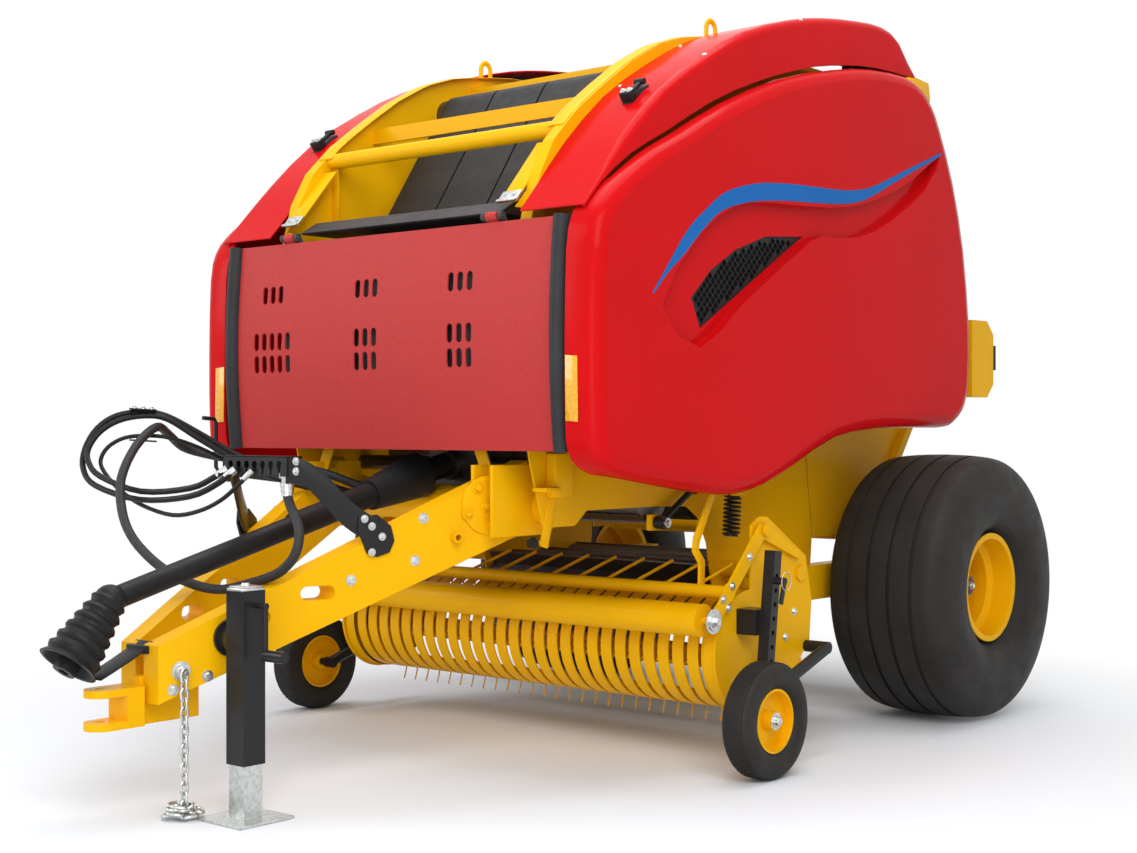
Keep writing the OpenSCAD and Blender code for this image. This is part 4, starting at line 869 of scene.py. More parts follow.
class BALER_OT_front(bpy.types.Operator):
    """Seals, straps, lid, hinges, lifting eyes and latches round the front panel"""

    bl_idname = "baler.front"
    bl_label = "Front"

    SEAL_X, SEAL_Y, SEAL_BOW = 0.830, -2.298, 0.022
    SEAL_LOW, SEAL_HIGH, SEAL_STEPS = 1.125, 1.895, 14
    SEAL = 1.0, 20, (0.029, 0.039)

    WALL_X, STRAP_X = 0.594, 0.556
    STRAP_WIDTH, STRAP_THICK, STRAP_EDGE = mm(74, 7, 1.5)
    STRAP_FOOT, STRAP_HEAD = Vector((0, -2.247, 1.964)), Vector((0, -2.052, 2.190))
    STRAP_WAY = (STRAP_HEAD - STRAP_FOOT).normalized()
    STRAP_FRONT = Vector((0, -STRAP_WAY.z, STRAP_WAY.y))
    FLANGE_RUN, FLANGE_FROM, FLANGE_LIFT = (-2.045, -0.915, 25), 3.2, 1.5
    FLANGE = 1.0, 12, (0.036, 0.004)
    POST_X, POST = 0.572, (17 * MM, (-2.012, 1.955), (-2.004, 2.235), 1.5 * MM)
    GUSSET_X, GUSSET_THICK, GUSSET_EDGE = 0.586, *mm(6, 1)
    GUSSET = ((-2.246, 1.945), (-2.150, 1.945), (-2.150, 2.050))

    LID_HALF, LID_EDGE = 0.515, 3 * MM
    LID = ((-2.238, 1.936), (-2.160, 1.982), (-2.140, 1.983), (-1.968, 1.946), (-1.968, 1.931),
           (-2.228, 1.931))
    RIB_PLACES, RIB = (-0.26, 0.0, 0.26), (6 * MM, (-2.150, 1.981), (-1.975, 1.984), 1 * MM)

    # millimetres along the strap, off it and to the left
    HINGE_AT, HINGE = (22, 6, 0), (mm(52, 84, 5), 1.2 * MM)
    KNUCKLE_AT, KNUCKLE = (-2, 10, 0), (mm(84, 12, 12), 3 * MM)
    HINGE_BOLTS_AT, HINGE_BOLT = ((26, 8, -22), (26, 8, 22)), 8 * MM

    EYE_Y, EYE_Z, EYE_HALF, EYE_RISE = -1.133, 2.735, *mm(29, 33)
    EYE, EYE_STEPS, EYE_LEG = (1.0, 12, (0.007, 0.011)), 10, (2.655, 2.70)
    EYE_FOOT = 10 * MM, (-1.185, 2.640), (-1.081, 2.688), 2 * MM

    LATCH_PLACE = (0.80, -1.855, 2.345)
    # millimetres up, along and across
    LATCH_BLOCKS = (((4, 0, 0), mm(120, 44, 9), 2.5 * MM), ((24, -34, 0), mm(40, 50, 38), 5 * MM),
                    ((24, 22, 0), mm(64, 22, 14), 4 * MM))
    LATCH_BAR_AT, LATCH_BAR = (26, 50, -20), (*mm(11, 11, 40), 18)
    LATCH_BOLTS_AT, LATCH_BOLT = ((43, -34, -14), (43, -34, 14)), 7 * MM

    DOTS = ((0.90, -1.60, 2.55), (0.91, -0.98, 2.77), (0.91, -0.42, 2.78), (0.66, -1.78, 2.42),
            (0.66, -1.42, 2.62))
    DOT_WASHER, DOT_LIFT, DOT_HEAD = (*mm(0, 9, 1.2), 18), 1, (*mm(7, 4, 3), 16)

    # painted shade: dark strips hung under the shoulders, standing for the shade in the gap there
    FILLER_X, FILLER_RUN = 0.80, (-1.55, -0.17, 23)
    FILLER_FROM, FILLER_DROP, FILLER_THICK = 1.9, 0.16, 5 * MM

    def execute(self, context):
        self.seals()
        self.straps()
        self.lid()
        self.hinges()
        self.eyes()
        self.latches()
        self.dots()
        self.fillers()
        return {"FINISHED"}

    def seals(self):
        """Bowed rubber tubes along the panel's sides."""
        bm = bmesh.new()
        middle, half = (self.SEAL_HIGH + self.SEAL_LOW) / 2, (self.SEAL_HIGH - self.SEAL_LOW) / 2
        for s in SIDES.values():
            line = [at(s * self.SEAL_X, self.SEAL_Y + self.SEAL_BOW * ((z - middle) / half) ** 2, z)
                    for z in steps(self.SEAL_LOW, self.SEAL_HIGH, self.SEAL_STEPS)]
            add_pipe(bm, line, *self.SEAL)
        tubes = add_piece("panel_seal_tubes", bm, "front_panel", "seal_rubber", 40)
        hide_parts("panel_seals")

    def straps(self):
        """Straps up from the hinges, flanges on the walls' upper edges, posts and gussets."""
        bm = bmesh.new()
        for name, s in SIDES.items():
            low, high = (at(s * self.STRAP_X, *end.yz) for end in (self.STRAP_FOOT, self.STRAP_HEAD))
            add_slab(bm, (low + high) / 2, self.STRAP_WAY, self.STRAP_FRONT,
                     ((high - low).length, self.STRAP_WIDTH, self.STRAP_THICK), self.STRAP_EDGE)
            line = [hit("wall_" + name, at(s * self.WALL_X, y, self.FLANGE_FROM), -UP)
                    for y in steps(*self.FLANGE_RUN)]
            add_pipe(bm, [off(spot, (UP, self.FLANGE_LIFT)) for spot in line], *self.FLANGE)
            add_bar(bm, s * self.POST_X, *self.POST)
            add_plate(bm, [at(s * self.GUSSET_X, *p) for p in self.GUSSET],
                      (s * self.GUSSET_THICK, 0, 0), self.GUSSET_EDGE)
        add_piece("wall_straps", bm, "chassis", "yellow_paint", 40)

    def lid(self):
        """Sloping lid of the wrap box, behind the panel's upper edge."""
        bm = bmesh.new()
        add_plate(bm, [at(-self.LID_HALF, *p) for p in self.LID], (2 * self.LID_HALF, 0, 0), self.LID_EDGE)
        for x in self.RIB_PLACES:
            add_bar(bm, x, *self.RIB)
        add_piece("wrap_box_lid", bm, "chassis", "grey_sheet", 30)

    def hinges(self):
        """Zinc hinge brackets at the feet of the straps."""
        way, front = self.STRAP_WAY, self.STRAP_FRONT
        ways = (way, front, LEFT)
        bm = bmesh.new()
        for s in SIDES.values():
            foot = at(s * self.STRAP_X, *self.STRAP_FOOT.yz)
            add_slab(bm, off(foot, *zip(ways, self.HINGE_AT)), way, front, *self.HINGE)
            add_slab(bm, off(foot, *zip(ways, self.KNUCKLE_AT)), LEFT, front, *self.KNUCKLE)
            for place in self.HINGE_BOLTS_AT:
                add_bolt(bm, off(foot, *zip(ways, place)), front, self.HINGE_BOLT)
        add_piece("hinge_brackets", bm, "chassis", "zinc")

    def eyes(self):
        """Lifting eyes bent from bar, upright on the walls."""
        bm = bmesh.new()
        for s in SIDES.values():
            x = s * self.WALL_X
            front, back = ([at(x, self.EYE_Y + k * self.EYE_HALF, z) for z in self.EYE_LEG] for k in (-1, 1))
            arch = [at(x, self.EYE_Y - self.EYE_HALF * math.cos(a), self.EYE_Z + self.EYE_RISE * math.sin(a))
                    for a in steps(0, math.pi, self.EYE_STEPS)]
            add_pipe(bm, front + arch + back[::-1], *self.EYE)
            add_bar(bm, x, *self.EYE_FOOT)
        add_piece("lifting_eyes", bm, "chassis", "yellow_paint", 40)

    def latches(self):
        """Rubber latches that hold the shields to the shoulders."""
        bm, bolts = bmesh.new(), bmesh.new()
        for name, s in SIDES.items():
            spot, up = seat("shoulder_" + name, at_side(s, *self.LATCH_PLACE))
            if up.z < 0:
                up = -up
            along = (REAR - up * up.y).normalized()
            across = up.cross(along) * s
            ways = (up, along, across)
            for place, *block in self.LATCH_BLOCKS:
                add_slab(bm, off(spot, *zip(ways, place)), along, up, *block)
            add_round(bm, off(spot, *zip(ways, self.LATCH_BAR_AT)), across, *self.LATCH_BAR)
            for place in self.LATCH_BOLTS_AT:
                add_bolt(bolts, off(spot, *zip(ways, place)), up, self.LATCH_BOLT)
        add_piece("shield_latches", bm, "chassis", "black_plastic")
        add_piece("latch_bolts", bolts, "chassis", "zinc")

    def dots(self):
        """Round bolt heads along the shoulders."""
        bm = bmesh.new()
        for name, s in SIDES.items():
            for place in self.DOTS:
                spot, up = seat("shoulder_" + name, at_side(s, *place))
                add_ring(bm, spot, up, *self.DOT_WASHER)
                add_round(bm, off(spot, (up, self.DOT_LIFT)), up, *self.DOT_HEAD)
        add_piece("shoulder_bolts", bm, "chassis", "zinc")

    def fillers(self):
        """Dark strips that close the gap under the shoulders: painted shade for that gap."""
        bm = bmesh.new()
        for name, s in SIDES.items():
            upper = [hit("shoulder_" + name, at(s * self.FILLER_X, y, self.FILLER_FROM), UP)
                     for y in steps(*self.FILLER_RUN)]
            upper = [spot for spot in upper if spot]
            lower = [spot - UP * self.FILLER_DROP for spot in reversed(upper)]
            add_plate(bm, upper + lower, (s * self.FILLER_THICK, 0, 0))
        add_piece("shoulder_fillers", bm, "chassis", "hose_rubber")


class BALER_OT_tongue(bpy.types.Operator):
    """Cheek plates, hose holder, lever, flap and fasteners on the tongue"""

    bl_idname = "baler.tongue"
    bl_label = "Tongue"

    # places on a beam's face are given as y and z
    CHEEK_PLACE, CHEEK_RADIUS, CHEEK_BACK, CHEEK_STEPS = (-2.240, 0.940), 0.100, 0.118, 18
    CHEEK_THICK, CHEEK_EDGE, CHEEK_BOLT = mm(9, 2, 13)
    CHEEK_BOLTS = ((-2.281, 0.999), (-2.250, 0.936), (-2.316, 0.912), (-2.232, 0.873))
    BOSS_PLACE, BOSS = (-2.359, 0.833), (*mm(11, 18, 30), 24)
    BRACE_PLACE, BRACE = (0.425, -2.205, 1.045), ((0.075, 0, -0.17), -REAR, mm(190, 50, 8), 1.5 * MM)

    HOLDER_LEFT, HOLDER_RIGHT = 0.192, -0.138
    HOLDER_FRONT, HOLDER_BACK, HOLDER_LOW, HOLDER_HIGH = -2.900, -2.836, 1.045, 1.111
    HOLDER_MIDDLE, HOLDER_SHEET, HOLDER_EDGE = -2.868, *mm(5, 1.5)
    KEYHOLES, KEYHOLE_RISE, KEYHOLE_RADIUS, KEYHOLE_NECK = 7, *mm(37, 13, 5.5)
    KEYHOLE_TURN = (245, -65, 12)
    HOLDER_BOLT, HOLDER_BOLT_OUT = ((1, -0.3, 0), 8 * MM), 6 * MM
    HOLDER_BOLT_HEIGHTS = (1.062, 1.094)

    ARM_FOOT, ARM_LAP, ARM_PARTS = -2.630, 0.030, 4
    ARM_FOOT_OUT, ARM_HALF, ARM_EDGE = mm(9, 5, 1)
    # shares of the arm's reach, and heights
    ARM_TOP = ((0.10, 1.100), (0.35, 1.055), (0.60, 0.980), (0.85, 0.925), (1.00, 0.905))
    ARM_UNDER = ((1.00, 0.815), (0.80, 0.840), (0.55, 0.890), (0.30, 0.965), (0.08, 1.020))
    ARM_TOP_START, ARM_UNDER_END = 1.111, 1.022
    FOOT_HEIGHT, FOOT_BACK, FOOT_THICK, FOOT_EDGE = 0.860, *mm(8, 10, 2)
    FOOT = ((-0.070, 0.052), (-0.005, 0.058), (0.045, 0.020), (0.058, -0.030), (0.040, -0.068),
            (-0.005, -0.082), (-0.040, -0.070), (-0.075, 0.010))
    FOOT_BOLTS = ((-2.680, 0.905), (-2.655, 0.880), (-2.620, 0.845), (-2.655, 0.795))
    FOOT_BOLT_OUT, FOOT_BOLT = mm(14, 8)

    LEVER_PLACE, LEVER = (0.60, -2.083, 0.900), ((0, -0.057, -0.193), LEFT, mm(220, 40, 10), 3 * MM)
    PIVOT_PLACE, PIVOT = (0.585, -2.054, 0.995), (LEFT, *mm(26, 26, 40))
    # two corners and edge of each plate that holds the lever
    LEVER_PLATES = (((0.598, -2.10, 0.965), (0.645, -2.01, 1.115), 4 * MM),
                    ((0.598, -2.17, 0.985), (0.66, -2.09, 1.000), 2 * MM))
    PIN_ENDS, PIN = ((0.60, -2.108, 0.812), (0.60, -2.155, 0.812)), (7 * MM, 12)
    KNOB = (((0.60, -2.150, 0.812), *mm(12, 21, 18)), ((0.60, -2.168, 0.812), *mm(21, 15, 16)))

    FLAP = ((-3.500, 0.440), (-3.450, 0.462), (-3.400, 0.485), (-3.350, 0.510), (-3.310, 0.536))
    FLAP_HALF, FLAP_THICK, FLAP_EDGE = mm(45, 6, 1.5)
    BEAD = 50 * MM, (-3.345, 0.505), (-3.325, 0.530), 3 * MM

    BEAM_BOLTS = ((-3.285, 0.395), (-3.180, 0.430), (-3.105, 0.470), (-2.720, 0.705), (-2.500, 0.760),
                  (-2.470, 0.900))
    BEAM_BOLT = 11 * MM

    def execute(self, context):
        self.cheek()
        self.holder()
        self.lever()
        self.flap()
        self.bolts()
        return {"FINISHED"}

    def mirrored(self, bm):
        """Adds the right-hand copy of what lies on the left beam."""
        made = bmesh.ops.duplicate(bm, geom=bm.verts[:] + bm.edges[:] + bm.faces[:])["geom"]
        bmesh.ops.scale(bm, vec=(-1, 1, 1), verts=verts_of(made))

    def cheek(self):
        """Rounded plates bolted to the beams' outer faces, a boss and a brace."""
        bm = bmesh.new()
        radius = self.CHEEK_RADIUS
        outline = [(radius * math.cos(math.radians(a)), radius * math.sin(math.radians(a)))
                   for a in steps(90, 270, self.CHEEK_STEPS)]
        outline += [(self.CHEEK_BACK, -radius), (self.CHEEK_BACK, radius)]
        middle = beam_face(*self.CHEEK_PLACE)
        add_plate(bm, [middle + BEAM_ALONG * u + UP * v for u, v in outline],
                  BEAM_OUT * self.CHEEK_THICK, self.CHEEK_EDGE)
        add_ring(bm, beam_face(*self.BOSS_PLACE), BEAM_OUT, *self.BOSS)
        add_slab(bm, at(*self.BRACE_PLACE), *self.BRACE)
        self.mirrored(bm)
        add_piece("tongue_cheeks", bm, "chassis", "yellow_paint", 40)
        bm = bmesh.new()
        for place in self.CHEEK_BOLTS:
            add_bolt(bm, beam_face(*place, self.CHEEK_THICK), BEAM_OUT, self.CHEEK_BOLT)
        self.mirrored(bm)
        add_piece("tongue_cheek_bolts", bm, "chassis", "yellow_paint")

    def keyhole(self, x):
        """Outline of one keyhole, open at the channel's lower edge."""
        eye = self.HOLDER_LOW + self.KEYHOLE_RISE
        line = [(x - self.KEYHOLE_NECK, self.HOLDER_LOW)]
        for turn in steps(*self.KEYHOLE_TURN):
            a = math.radians(turn)
            line.append((x + self.KEYHOLE_RADIUS * math.cos(a), eye + self.KEYHOLE_RADIUS * math.sin(a)))
        return line + [(x + self.KEYHOLE_NECK, self.HOLDER_LOW)]

    def holder(self):
        """Channel with seven keyholes for couplings, on two curved arms."""
        low, high, front, back = self.HOLDER_LOW, self.HOLDER_HIGH, self.HOLDER_FRONT, self.HOLDER_BACK
        left, right, sheet = self.HOLDER_LEFT, self.HOLDER_RIGHT, self.HOLDER_SHEET
        outline = [(right, high), (right, low)]
        for x in steps(right, left, self.KEYHOLES + 1)[1:-1]:
            outline += self.keyhole(x)
        outline += [(left, low), (left, high)]
        bm = bmesh.new()
        add_plate(bm, [at(x, front, z) for x, z in outline], (0, sheet, 0))
        for one, other in (((right, front, high - sheet), (left, back, high)),
                           ((right, back - sheet, low), (left, back, high)),
                           ((right, front, low), (right + sheet, back, high)),
                           ((left - sheet, front, low), (left, back, high))):
            add_box(bm, at(*one), at(*other), self.HOLDER_EDGE)
        self.arm(bm, 1, left)
        self.arm(bm, -1, right)
        made = add_piece("hose_holder_body", bm, "chassis", "black_paint", 30)
        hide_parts("hose_holder")
        bm = bmesh.new()
        for z in self.HOLDER_BOLT_HEIGHTS:
            add_bolt(bm, at(left + self.HOLDER_BOLT_OUT, self.HOLDER_MIDDLE, z), *self.HOLDER_BOLT)
        for place in self.FOOT_BOLTS:
            add_bolt(bm, beam_face(*place, self.FOOT_BOLT_OUT), BEAM_OUT, self.FOOT_BOLT)
        add_piece("holder_bolts", bm, "chassis", "zinc")

    def arm(self, bm, s, start):
        """A curved plate from the channel's end down to a rounded foot on the beam."""
        foot = beam_face(self.ARM_FOOT, 0, self.ARM_FOOT_OUT)
        foot.x *= s
        begin = at(start, self.HOLDER_MIDDLE, 0)
        way, reach = (foot - begin).normalized(), (foot - begin).length
        top = [(-self.ARM_LAP, self.ARM_TOP_START)] + [(share * reach, z) for share, z in self.ARM_TOP]
        under = [(share * reach, z) for share, z in self.ARM_UNDER] + [(-self.ARM_LAP, self.ARM_UNDER_END)]
        outline = []
        for edge in (top, under):
            outline += flow([begin + way * run + UP * z for run, z in edge], self.ARM_PARTS)
        side = Vector((way.y, -way.x, 0)) * self.ARM_HALF
        add_plate(bm, [p - side for p in outline], side * 2, self.ARM_EDGE)
        along = Vector((s * BEAM_ALONG.x, BEAM_ALONG.y, 0))
        out = Vector((s * BEAM_OUT.x, BEAM_OUT.y, 0))
        middle = foot + UP * self.FOOT_HEIGHT - out * self.FOOT_BACK
        add_plate(bm, [middle + along * u + UP * v for u, v in self.FOOT], out * self.FOOT_THICK,
                  self.FOOT_EDGE)

    def lever(self):
        """The lever below the panel with its plates, pin and knob."""
        bm, knob = bmesh.new(), bmesh.new()
        add_slab(bm, at(*self.LEVER_PLACE), *self.LEVER)
        add_round(bm, at(*self.PIVOT_PLACE), *self.PIVOT)
        for low, high, edge in self.LEVER_PLATES:
            add_box(bm, at(*low), at(*high), edge)
        add_pipe(bm, [at(*end) for end in self.PIN_ENDS], *self.PIN)
        for foot, *half in self.KNOB:
            add_round(knob, at(*foot), -REAR, *half)
        add_piece("lever", bm, "chassis", "yellow_paint")
        add_piece("lever_knob", knob, "chassis", "black_plastic")

    def flap(self):
        """Rubber flap over the hitch."""
        bm = bmesh.new()
        outline = [(y, z + self.FLAP_THICK) for y, z in self.FLAP] + list(reversed(self.FLAP))
        add_plate(bm, [at(-self.FLAP_HALF, *p) for p in outline], (2 * self.FLAP_HALF, 0, 0), self.FLAP_EDGE)
        add_bar(bm, 0, *self.BEAD)
        add_piece("hitch_flap", bm, "chassis", "hose_rubber")

    def bolts(self):
        """Bolt heads along the beams and the hitch."""
        bm = bmesh.new()
        for place in self.BEAM_BOLTS:
            add_bolt(bm, beam_face(*place), BEAM_OUT, self.BEAM_BOLT)
        self.mirrored(bm)
        add_piece("tongue_bolts", bm, "chassis", "zinc")


class BALER_OT_stand(bpy.types.Operator):
    """Cap of the jack, and the safety chain's washer and heap"""

    bl_idname = "baler.stand"
    bl_label = "Jack and chain"

    CAP_X = 0.288
    CAP = ((42 * MM, (-3.188, 0.700), (-3.104, 0.712), 3 * MM),
           (36 * MM, (-3.182, 0.712), (-3.110, 0.718), 2 * MM))
    NUT_PLACE, NUT = (0.288, -3.146, 0.716), (*mm(16, 12, 10), 24)
    WASHER_PLACE, WASHER, WASHER_BOLT = (-3.262, 0.452), mm(8, 30, 5), 14 * MM

    HEAP_X, HEAP_Y, HEAP_LINKS, HEAP_LAYER = 0.132, -3.272, 17, 9
    HEAP_TURN, HEAP_REACH, HEAP_GROWTH = 1.05, 0.020, 0.0034
    HEAP_WIDE, HEAP_NARROW = 1.25, 0.7
    # heights in millimetres: the lowest links, every second one, and the upper layer
    HEAP_LOW, HEAP_STAGGER, HEAP_UPPER = 7, 9, 17
    LINK_ROUND, LINK_STRAIGHT, LINK_BLEND, LINK_STEPS = 13, 10, 3, 16

    def execute(self, context):
        bm = bmesh.new()
        for step in self.CAP:
            add_bar(bm, self.CAP_X, *step)
        add_round(bm, at(*self.NUT_PLACE), UP, *self.NUT)
        add_ring(bm, beam_face(*self.WASHER_PLACE), BEAM_OUT, *self.WASHER)
        add_bolt(bm, beam_face(*self.WASHER_PLACE, self.WASHER[2]), BEAM_OUT, self.WASHER_BOLT)
        add_piece("jack_cap", bm, "chassis", "zinc")
        self.heap()
        return {"FINISHED"}

    def heap(self):
        """The chain's spare links, heaped on the ground in two layers."""
        wire = sizes().chain_wire
        bm = bmesh.new()
        for k in range(self.HEAP_LINKS):
            above = k >= self.HEAP_LAYER
            turn = k * self.HEAP_TURN
            reach = self.HEAP_REACH + self.HEAP_GROWTH * (k % self.HEAP_LAYER)
            reach *= self.HEAP_NARROW if above else self.HEAP_WIDE
            rise = self.HEAP_LOW + self.HEAP_STAGGER * (k % 2) + (self.HEAP_UPPER if above else 0)
            middle = at(self.HEAP_X + reach * math.cos(turn), self.HEAP_Y + reach * math.sin(turn),
                        wire + rise * MM)
            # each link lies a little askew
            along = Vector((-math.sin(turn), math.cos(turn), 0.10 * math.sin(k * 2.1))).normalized()
            up = Vector((0.35 * math.cos(k * 1.7), 0.35 * math.sin(k * 1.3), 1)).normalized()
            add_pipe(bm, self.link(middle, along, up.cross(along).normalized()), wire, 8, closed=True)
        add_piece("chain_heap", bm, "chassis", "zinc", 60)

    def link(self, middle, along, across):
        """Middle line of an oval link."""
        line = []
        for a in steps(0, math.tau, self.LINK_STEPS):
            end = 1 if math.cos(a) > 0 else -1
            shift = self.LINK_STRAIGHT * end * min(1, abs(math.cos(a)) * self.LINK_BLEND)
            line.append(off(middle, (along, self.LINK_ROUND * math.cos(a) + shift),
                            (across, self.LINK_ROUND * math.sin(a))))
        return line


class BALER_OT_pickup(bpy.types.Operator):
    """Fasteners, hangers, springs and rams at the pickup"""

    bl_idname = "baler.pickup"
    bl_label = "Pickup"

    GUARD_X, GUARD_PIVOT, OUTSIDE = 0.985, (-1.660, 0.530), 1.3
    PIVOT_WASHERS = ((0, *mm(9, 44, 4), 36), (4, *mm(9, 33, 4), 36))
    PIVOT_BOLT_LIFT, PIVOT_BOLT, BOLT = 8, (17 * MM, 1.3), 9 * MM
    GUARD_BOLTS = ((-1.600, 0.602), (-1.570, 0.570), (-1.545, 0.645), (-1.440, 0.742))
    PLATE_BOLTS = ((-1.290, 0.300), (-1.500, 0.300), (-1.180, 0.430), (-1.240, 0.560), (-1.120, 0.520))
    COVER_PLACE, COVERS = (0.900, -1.400, 0.400), ((*mm(206, 212, 54), 96), (*mm(203, 215, 5), 96))

    HANGER = ((0.253, 0.006), (0.273, 0.272), (0.02, 0.40), (0.067, 0.533), (0.74, 0.992), (0.94, 0.942),
              (0.287, 0.489), (0.253, 0.417), (0.50, 0.30), (0.48, 0.006))
    HANGER_FIELD = (0.852, -1.610, 0.620), 0.150, 0.360
    HANGER_THICK, HANGER_EDGE = mm(8, 1.2)

    SPRING_TOP, SPRING_FOOT = (0.70, -1.135, 0.942), (0.70, -1.148, 0.798)
    SPRING_TURNS, SPRING_STEPS, SPRING_RADIUS, SPRING_WIRE = 9, 16, *mm(31, 4.5)
    SPRING_CAPS_AT, SPRING_CAP = (-8, -3), (*mm(26, 26, 12), 24)
    LUG_NEAR, LUG_FAR, LUG_LOW, LUG_HIGH, LUG_EDGE = 0.597, 0.740, (-1.160, 0.945), (-1.110, 0.957), 2 * MM

    RAM_LOW, RAM_MID, RAM_HIGH = (0.640, -1.510, 0.855), (0.640, -1.300, 0.979), (0.640, -1.195, 1.041)
    RAM_RADIUS, RAM_ROD, RAM_GAP = 22 * MM, 12 * MM, 14
    COLLAR_AT, COLLAR = -10, (*mm(25, 25, 20), 28)
    RAM_EYE_AT, RAM_EYE = -18, (*mm(10, 24, 36), 28)
    PIN_AT, PIN, PIN_BOLT_AT, PIN_BOLT = -30, (*mm(10, 10, 66), 20), 34, 11 * MM
    RAM_LUG_AT, RAM_LUG, RAM_LUG_EDGE = -32, Vector(mm(12, 30, 30)), 4 * MM

    POST_PLACE, POST_FACE = (-1.425, 0.662), 1.088
    POST_PIN_AT, POST_PIN = -4, (*mm(13, 13, 44), 20)
    POST_LEVER_AT, POST_LEVER_WAY, POST_LEVER = (36, -10, -34), (0, -0.28, -1), (mm(96, 22, 10), 4 * MM)
    CLIP_OUT, CLIP_LENGTH, CLIP_HEIGHT, CLIP_WIRE, CLIP_STEPS = 44, 30, 34, 1.6 * MM, 14

    def execute(self, context):
        self.ends()
        self.hangers()
        self.springs()
        self.rams()
        self.post_fittings()
        return {"FINISHED"}

    def ends(self):
        """Washers and bolts on the windguard's arms and the pickup's plates, and end covers."""
        covers, guard, plates = bmesh.new(), bmesh.new(), bmesh.new()
        for s in SIDES.values():
            out = LEFT * s
            face = at(s * self.GUARD_X, *self.GUARD_PIVOT)
            for lift, *washer in self.PIVOT_WASHERS:
                add_ring(guard, off(face, (out, lift)), out, *washer)
            add_bolt(guard, off(face, (out, self.PIVOT_BOLT_LIFT)), out, *self.PIVOT_BOLT)
            for place in self.GUARD_BOLTS:
                add_bolt(guard, at(s * self.GUARD_X, *place), out, self.BOLT)
            for place in self.PLATE_BOLTS:
                spot = hit("pickup_plates", at(s * self.OUTSIDE, *place), -out)
                if spot:
                    add_bolt(plates, spot, out, self.BOLT)
            for cover in self.COVERS:
                add_ring(covers, at_side(s, *self.COVER_PLACE), out, *cover)
        add_piece("band_end_covers", covers, "pickup", "yellow_paint", 40)
        add_piece("windguard_bolts", guard, "windguard", "zinc")
        add_piece("pickup_bolts", plates, "pickup", "zinc")

    def hangers(self):
        """Flat hangers that stand on the windguard's cross tube."""
        bm = bmesh.new()
        for s in SIDES.values():
            outline = side_outline(s, self.HANGER, *self.HANGER_FIELD)
            add_plate(bm, outline, (s * self.HANGER_THICK, 0, 0), self.HANGER_EDGE)
        add_piece("windguard_hangers", bm, "windguard", "yellow_paint")

    def springs(self):
        """Coil springs beside the walls that carry the pickup."""
        bm, lugs = bmesh.new(), bmesh.new()
        for s in SIDES.values():
            top, foot = at_side(s, *self.SPRING_TOP), at_side(s, *self.SPRING_FOOT)
            way = (foot - top).normalized()
            out = way.orthogonal().normalized()
            side = way.cross(out)
            line = []
            for share in steps(0, 1, self.SPRING_TURNS * self.SPRING_STEPS):
                a = math.tau * share * self.SPRING_TURNS
                coil = out * math.cos(a) + side * math.sin(a)
                line.append(top + (foot - top) * share + coil * self.SPRING_RADIUS)
            add_pipe(bm, line, self.SPRING_WIRE, 8)
            for end, start in zip((top, foot), self.SPRING_CAPS_AT):
                add_round(bm, off(end, (way, start)), way, *self.SPRING_CAP)
            near, far = sorted((s * self.LUG_NEAR, s * self.LUG_FAR))
            add_box(lugs, at(near, *self.LUG_LOW), at(far, *self.LUG_HIGH), self.LUG_EDGE)
        add_piece("pickup_springs", bm, "chassis", "black_paint")
        add_piece("spring_lugs", lugs, "chassis", "yellow_paint")

    def rams(self):
        """Lift rams with their pins and lugs on the walls."""
        bm, lugs, pins = bmesh.new(), bmesh.new(), bmesh.new()
        for s in SIDES.values():
            out = LEFT * s
            low, mid, high = (at_side(s, *p) for p in (self.RAM_LOW, self.RAM_MID, self.RAM_HIGH))
            way = (high - low).normalized()
            length = (high - mid).length - self.RAM_GAP * MM
            add_round(bm, mid, way, self.RAM_RADIUS, self.RAM_RADIUS, length, 28)
            add_round(bm, off(mid, (way, self.COLLAR_AT)), way, *self.COLLAR)
            rod = off(low, (way, self.RAM_GAP))
            add_round(bm, rod, way, self.RAM_ROD, self.RAM_ROD, (mid - low).length, 20)
            for end in (low, high):
                add_ring(bm, off(end, (out, self.RAM_EYE_AT)), out, *self.RAM_EYE)
                add_round(pins, off(end, (out, self.PIN_AT)), out, *self.PIN)
                add_bolt(pins, off(end, (out, self.PIN_BOLT_AT)), out, self.PIN_BOLT)
                lug = off(end, (out, self.RAM_LUG_AT))
                add_box(lugs, lug - self.RAM_LUG, lug + self.RAM_LUG, self.RAM_LUG_EDGE)
        add_piece("lift_rams", bm, "chassis", "black_paint")
        add_piece("ram_lugs", lugs, "chassis", "yellow_paint")
        add_piece("ram_pins", pins, "chassis", "zinc")

    def post_fittings(self):
        """Lever, pin and wire clip on the gauge wheels' posts."""
        bm, wires = bmesh.new(), bmesh.new()
        for s in SIDES.values():
            out = LEFT * s
            hub = hit("gauge_arms", at(s * self.OUTSIDE, *self.POST_PLACE), -out)
            hub = hub or at(s * self.POST_FACE, *self.POST_PLACE)
            add_round(bm, off(hub, (out, self.POST_PIN_AT)), out, *self.POST_PIN)
            lever = off(hub, *zip((out, REAR, UP), self.POST_LEVER_AT))
            add_slab(bm, lever, self.POST_LEVER_WAY, out, *self.POST_LEVER)
            wire = [off(hub, (out, self.CLIP_OUT), (REAR, self.CLIP_LENGTH * math.sin(a)),
                        (UP, self.CLIP_HEIGHT * math.cos(a)))
                    for a in steps(0, math.tau, self.CLIP_STEPS)]
            add_pipe(wires, wire, self.CLIP_WIRE, 6, closed=True)
        add_piece("post_levers", bm, "pickup", "black_paint")
        add_piece("post_wires", wires, "pickup", "zinc", 60)


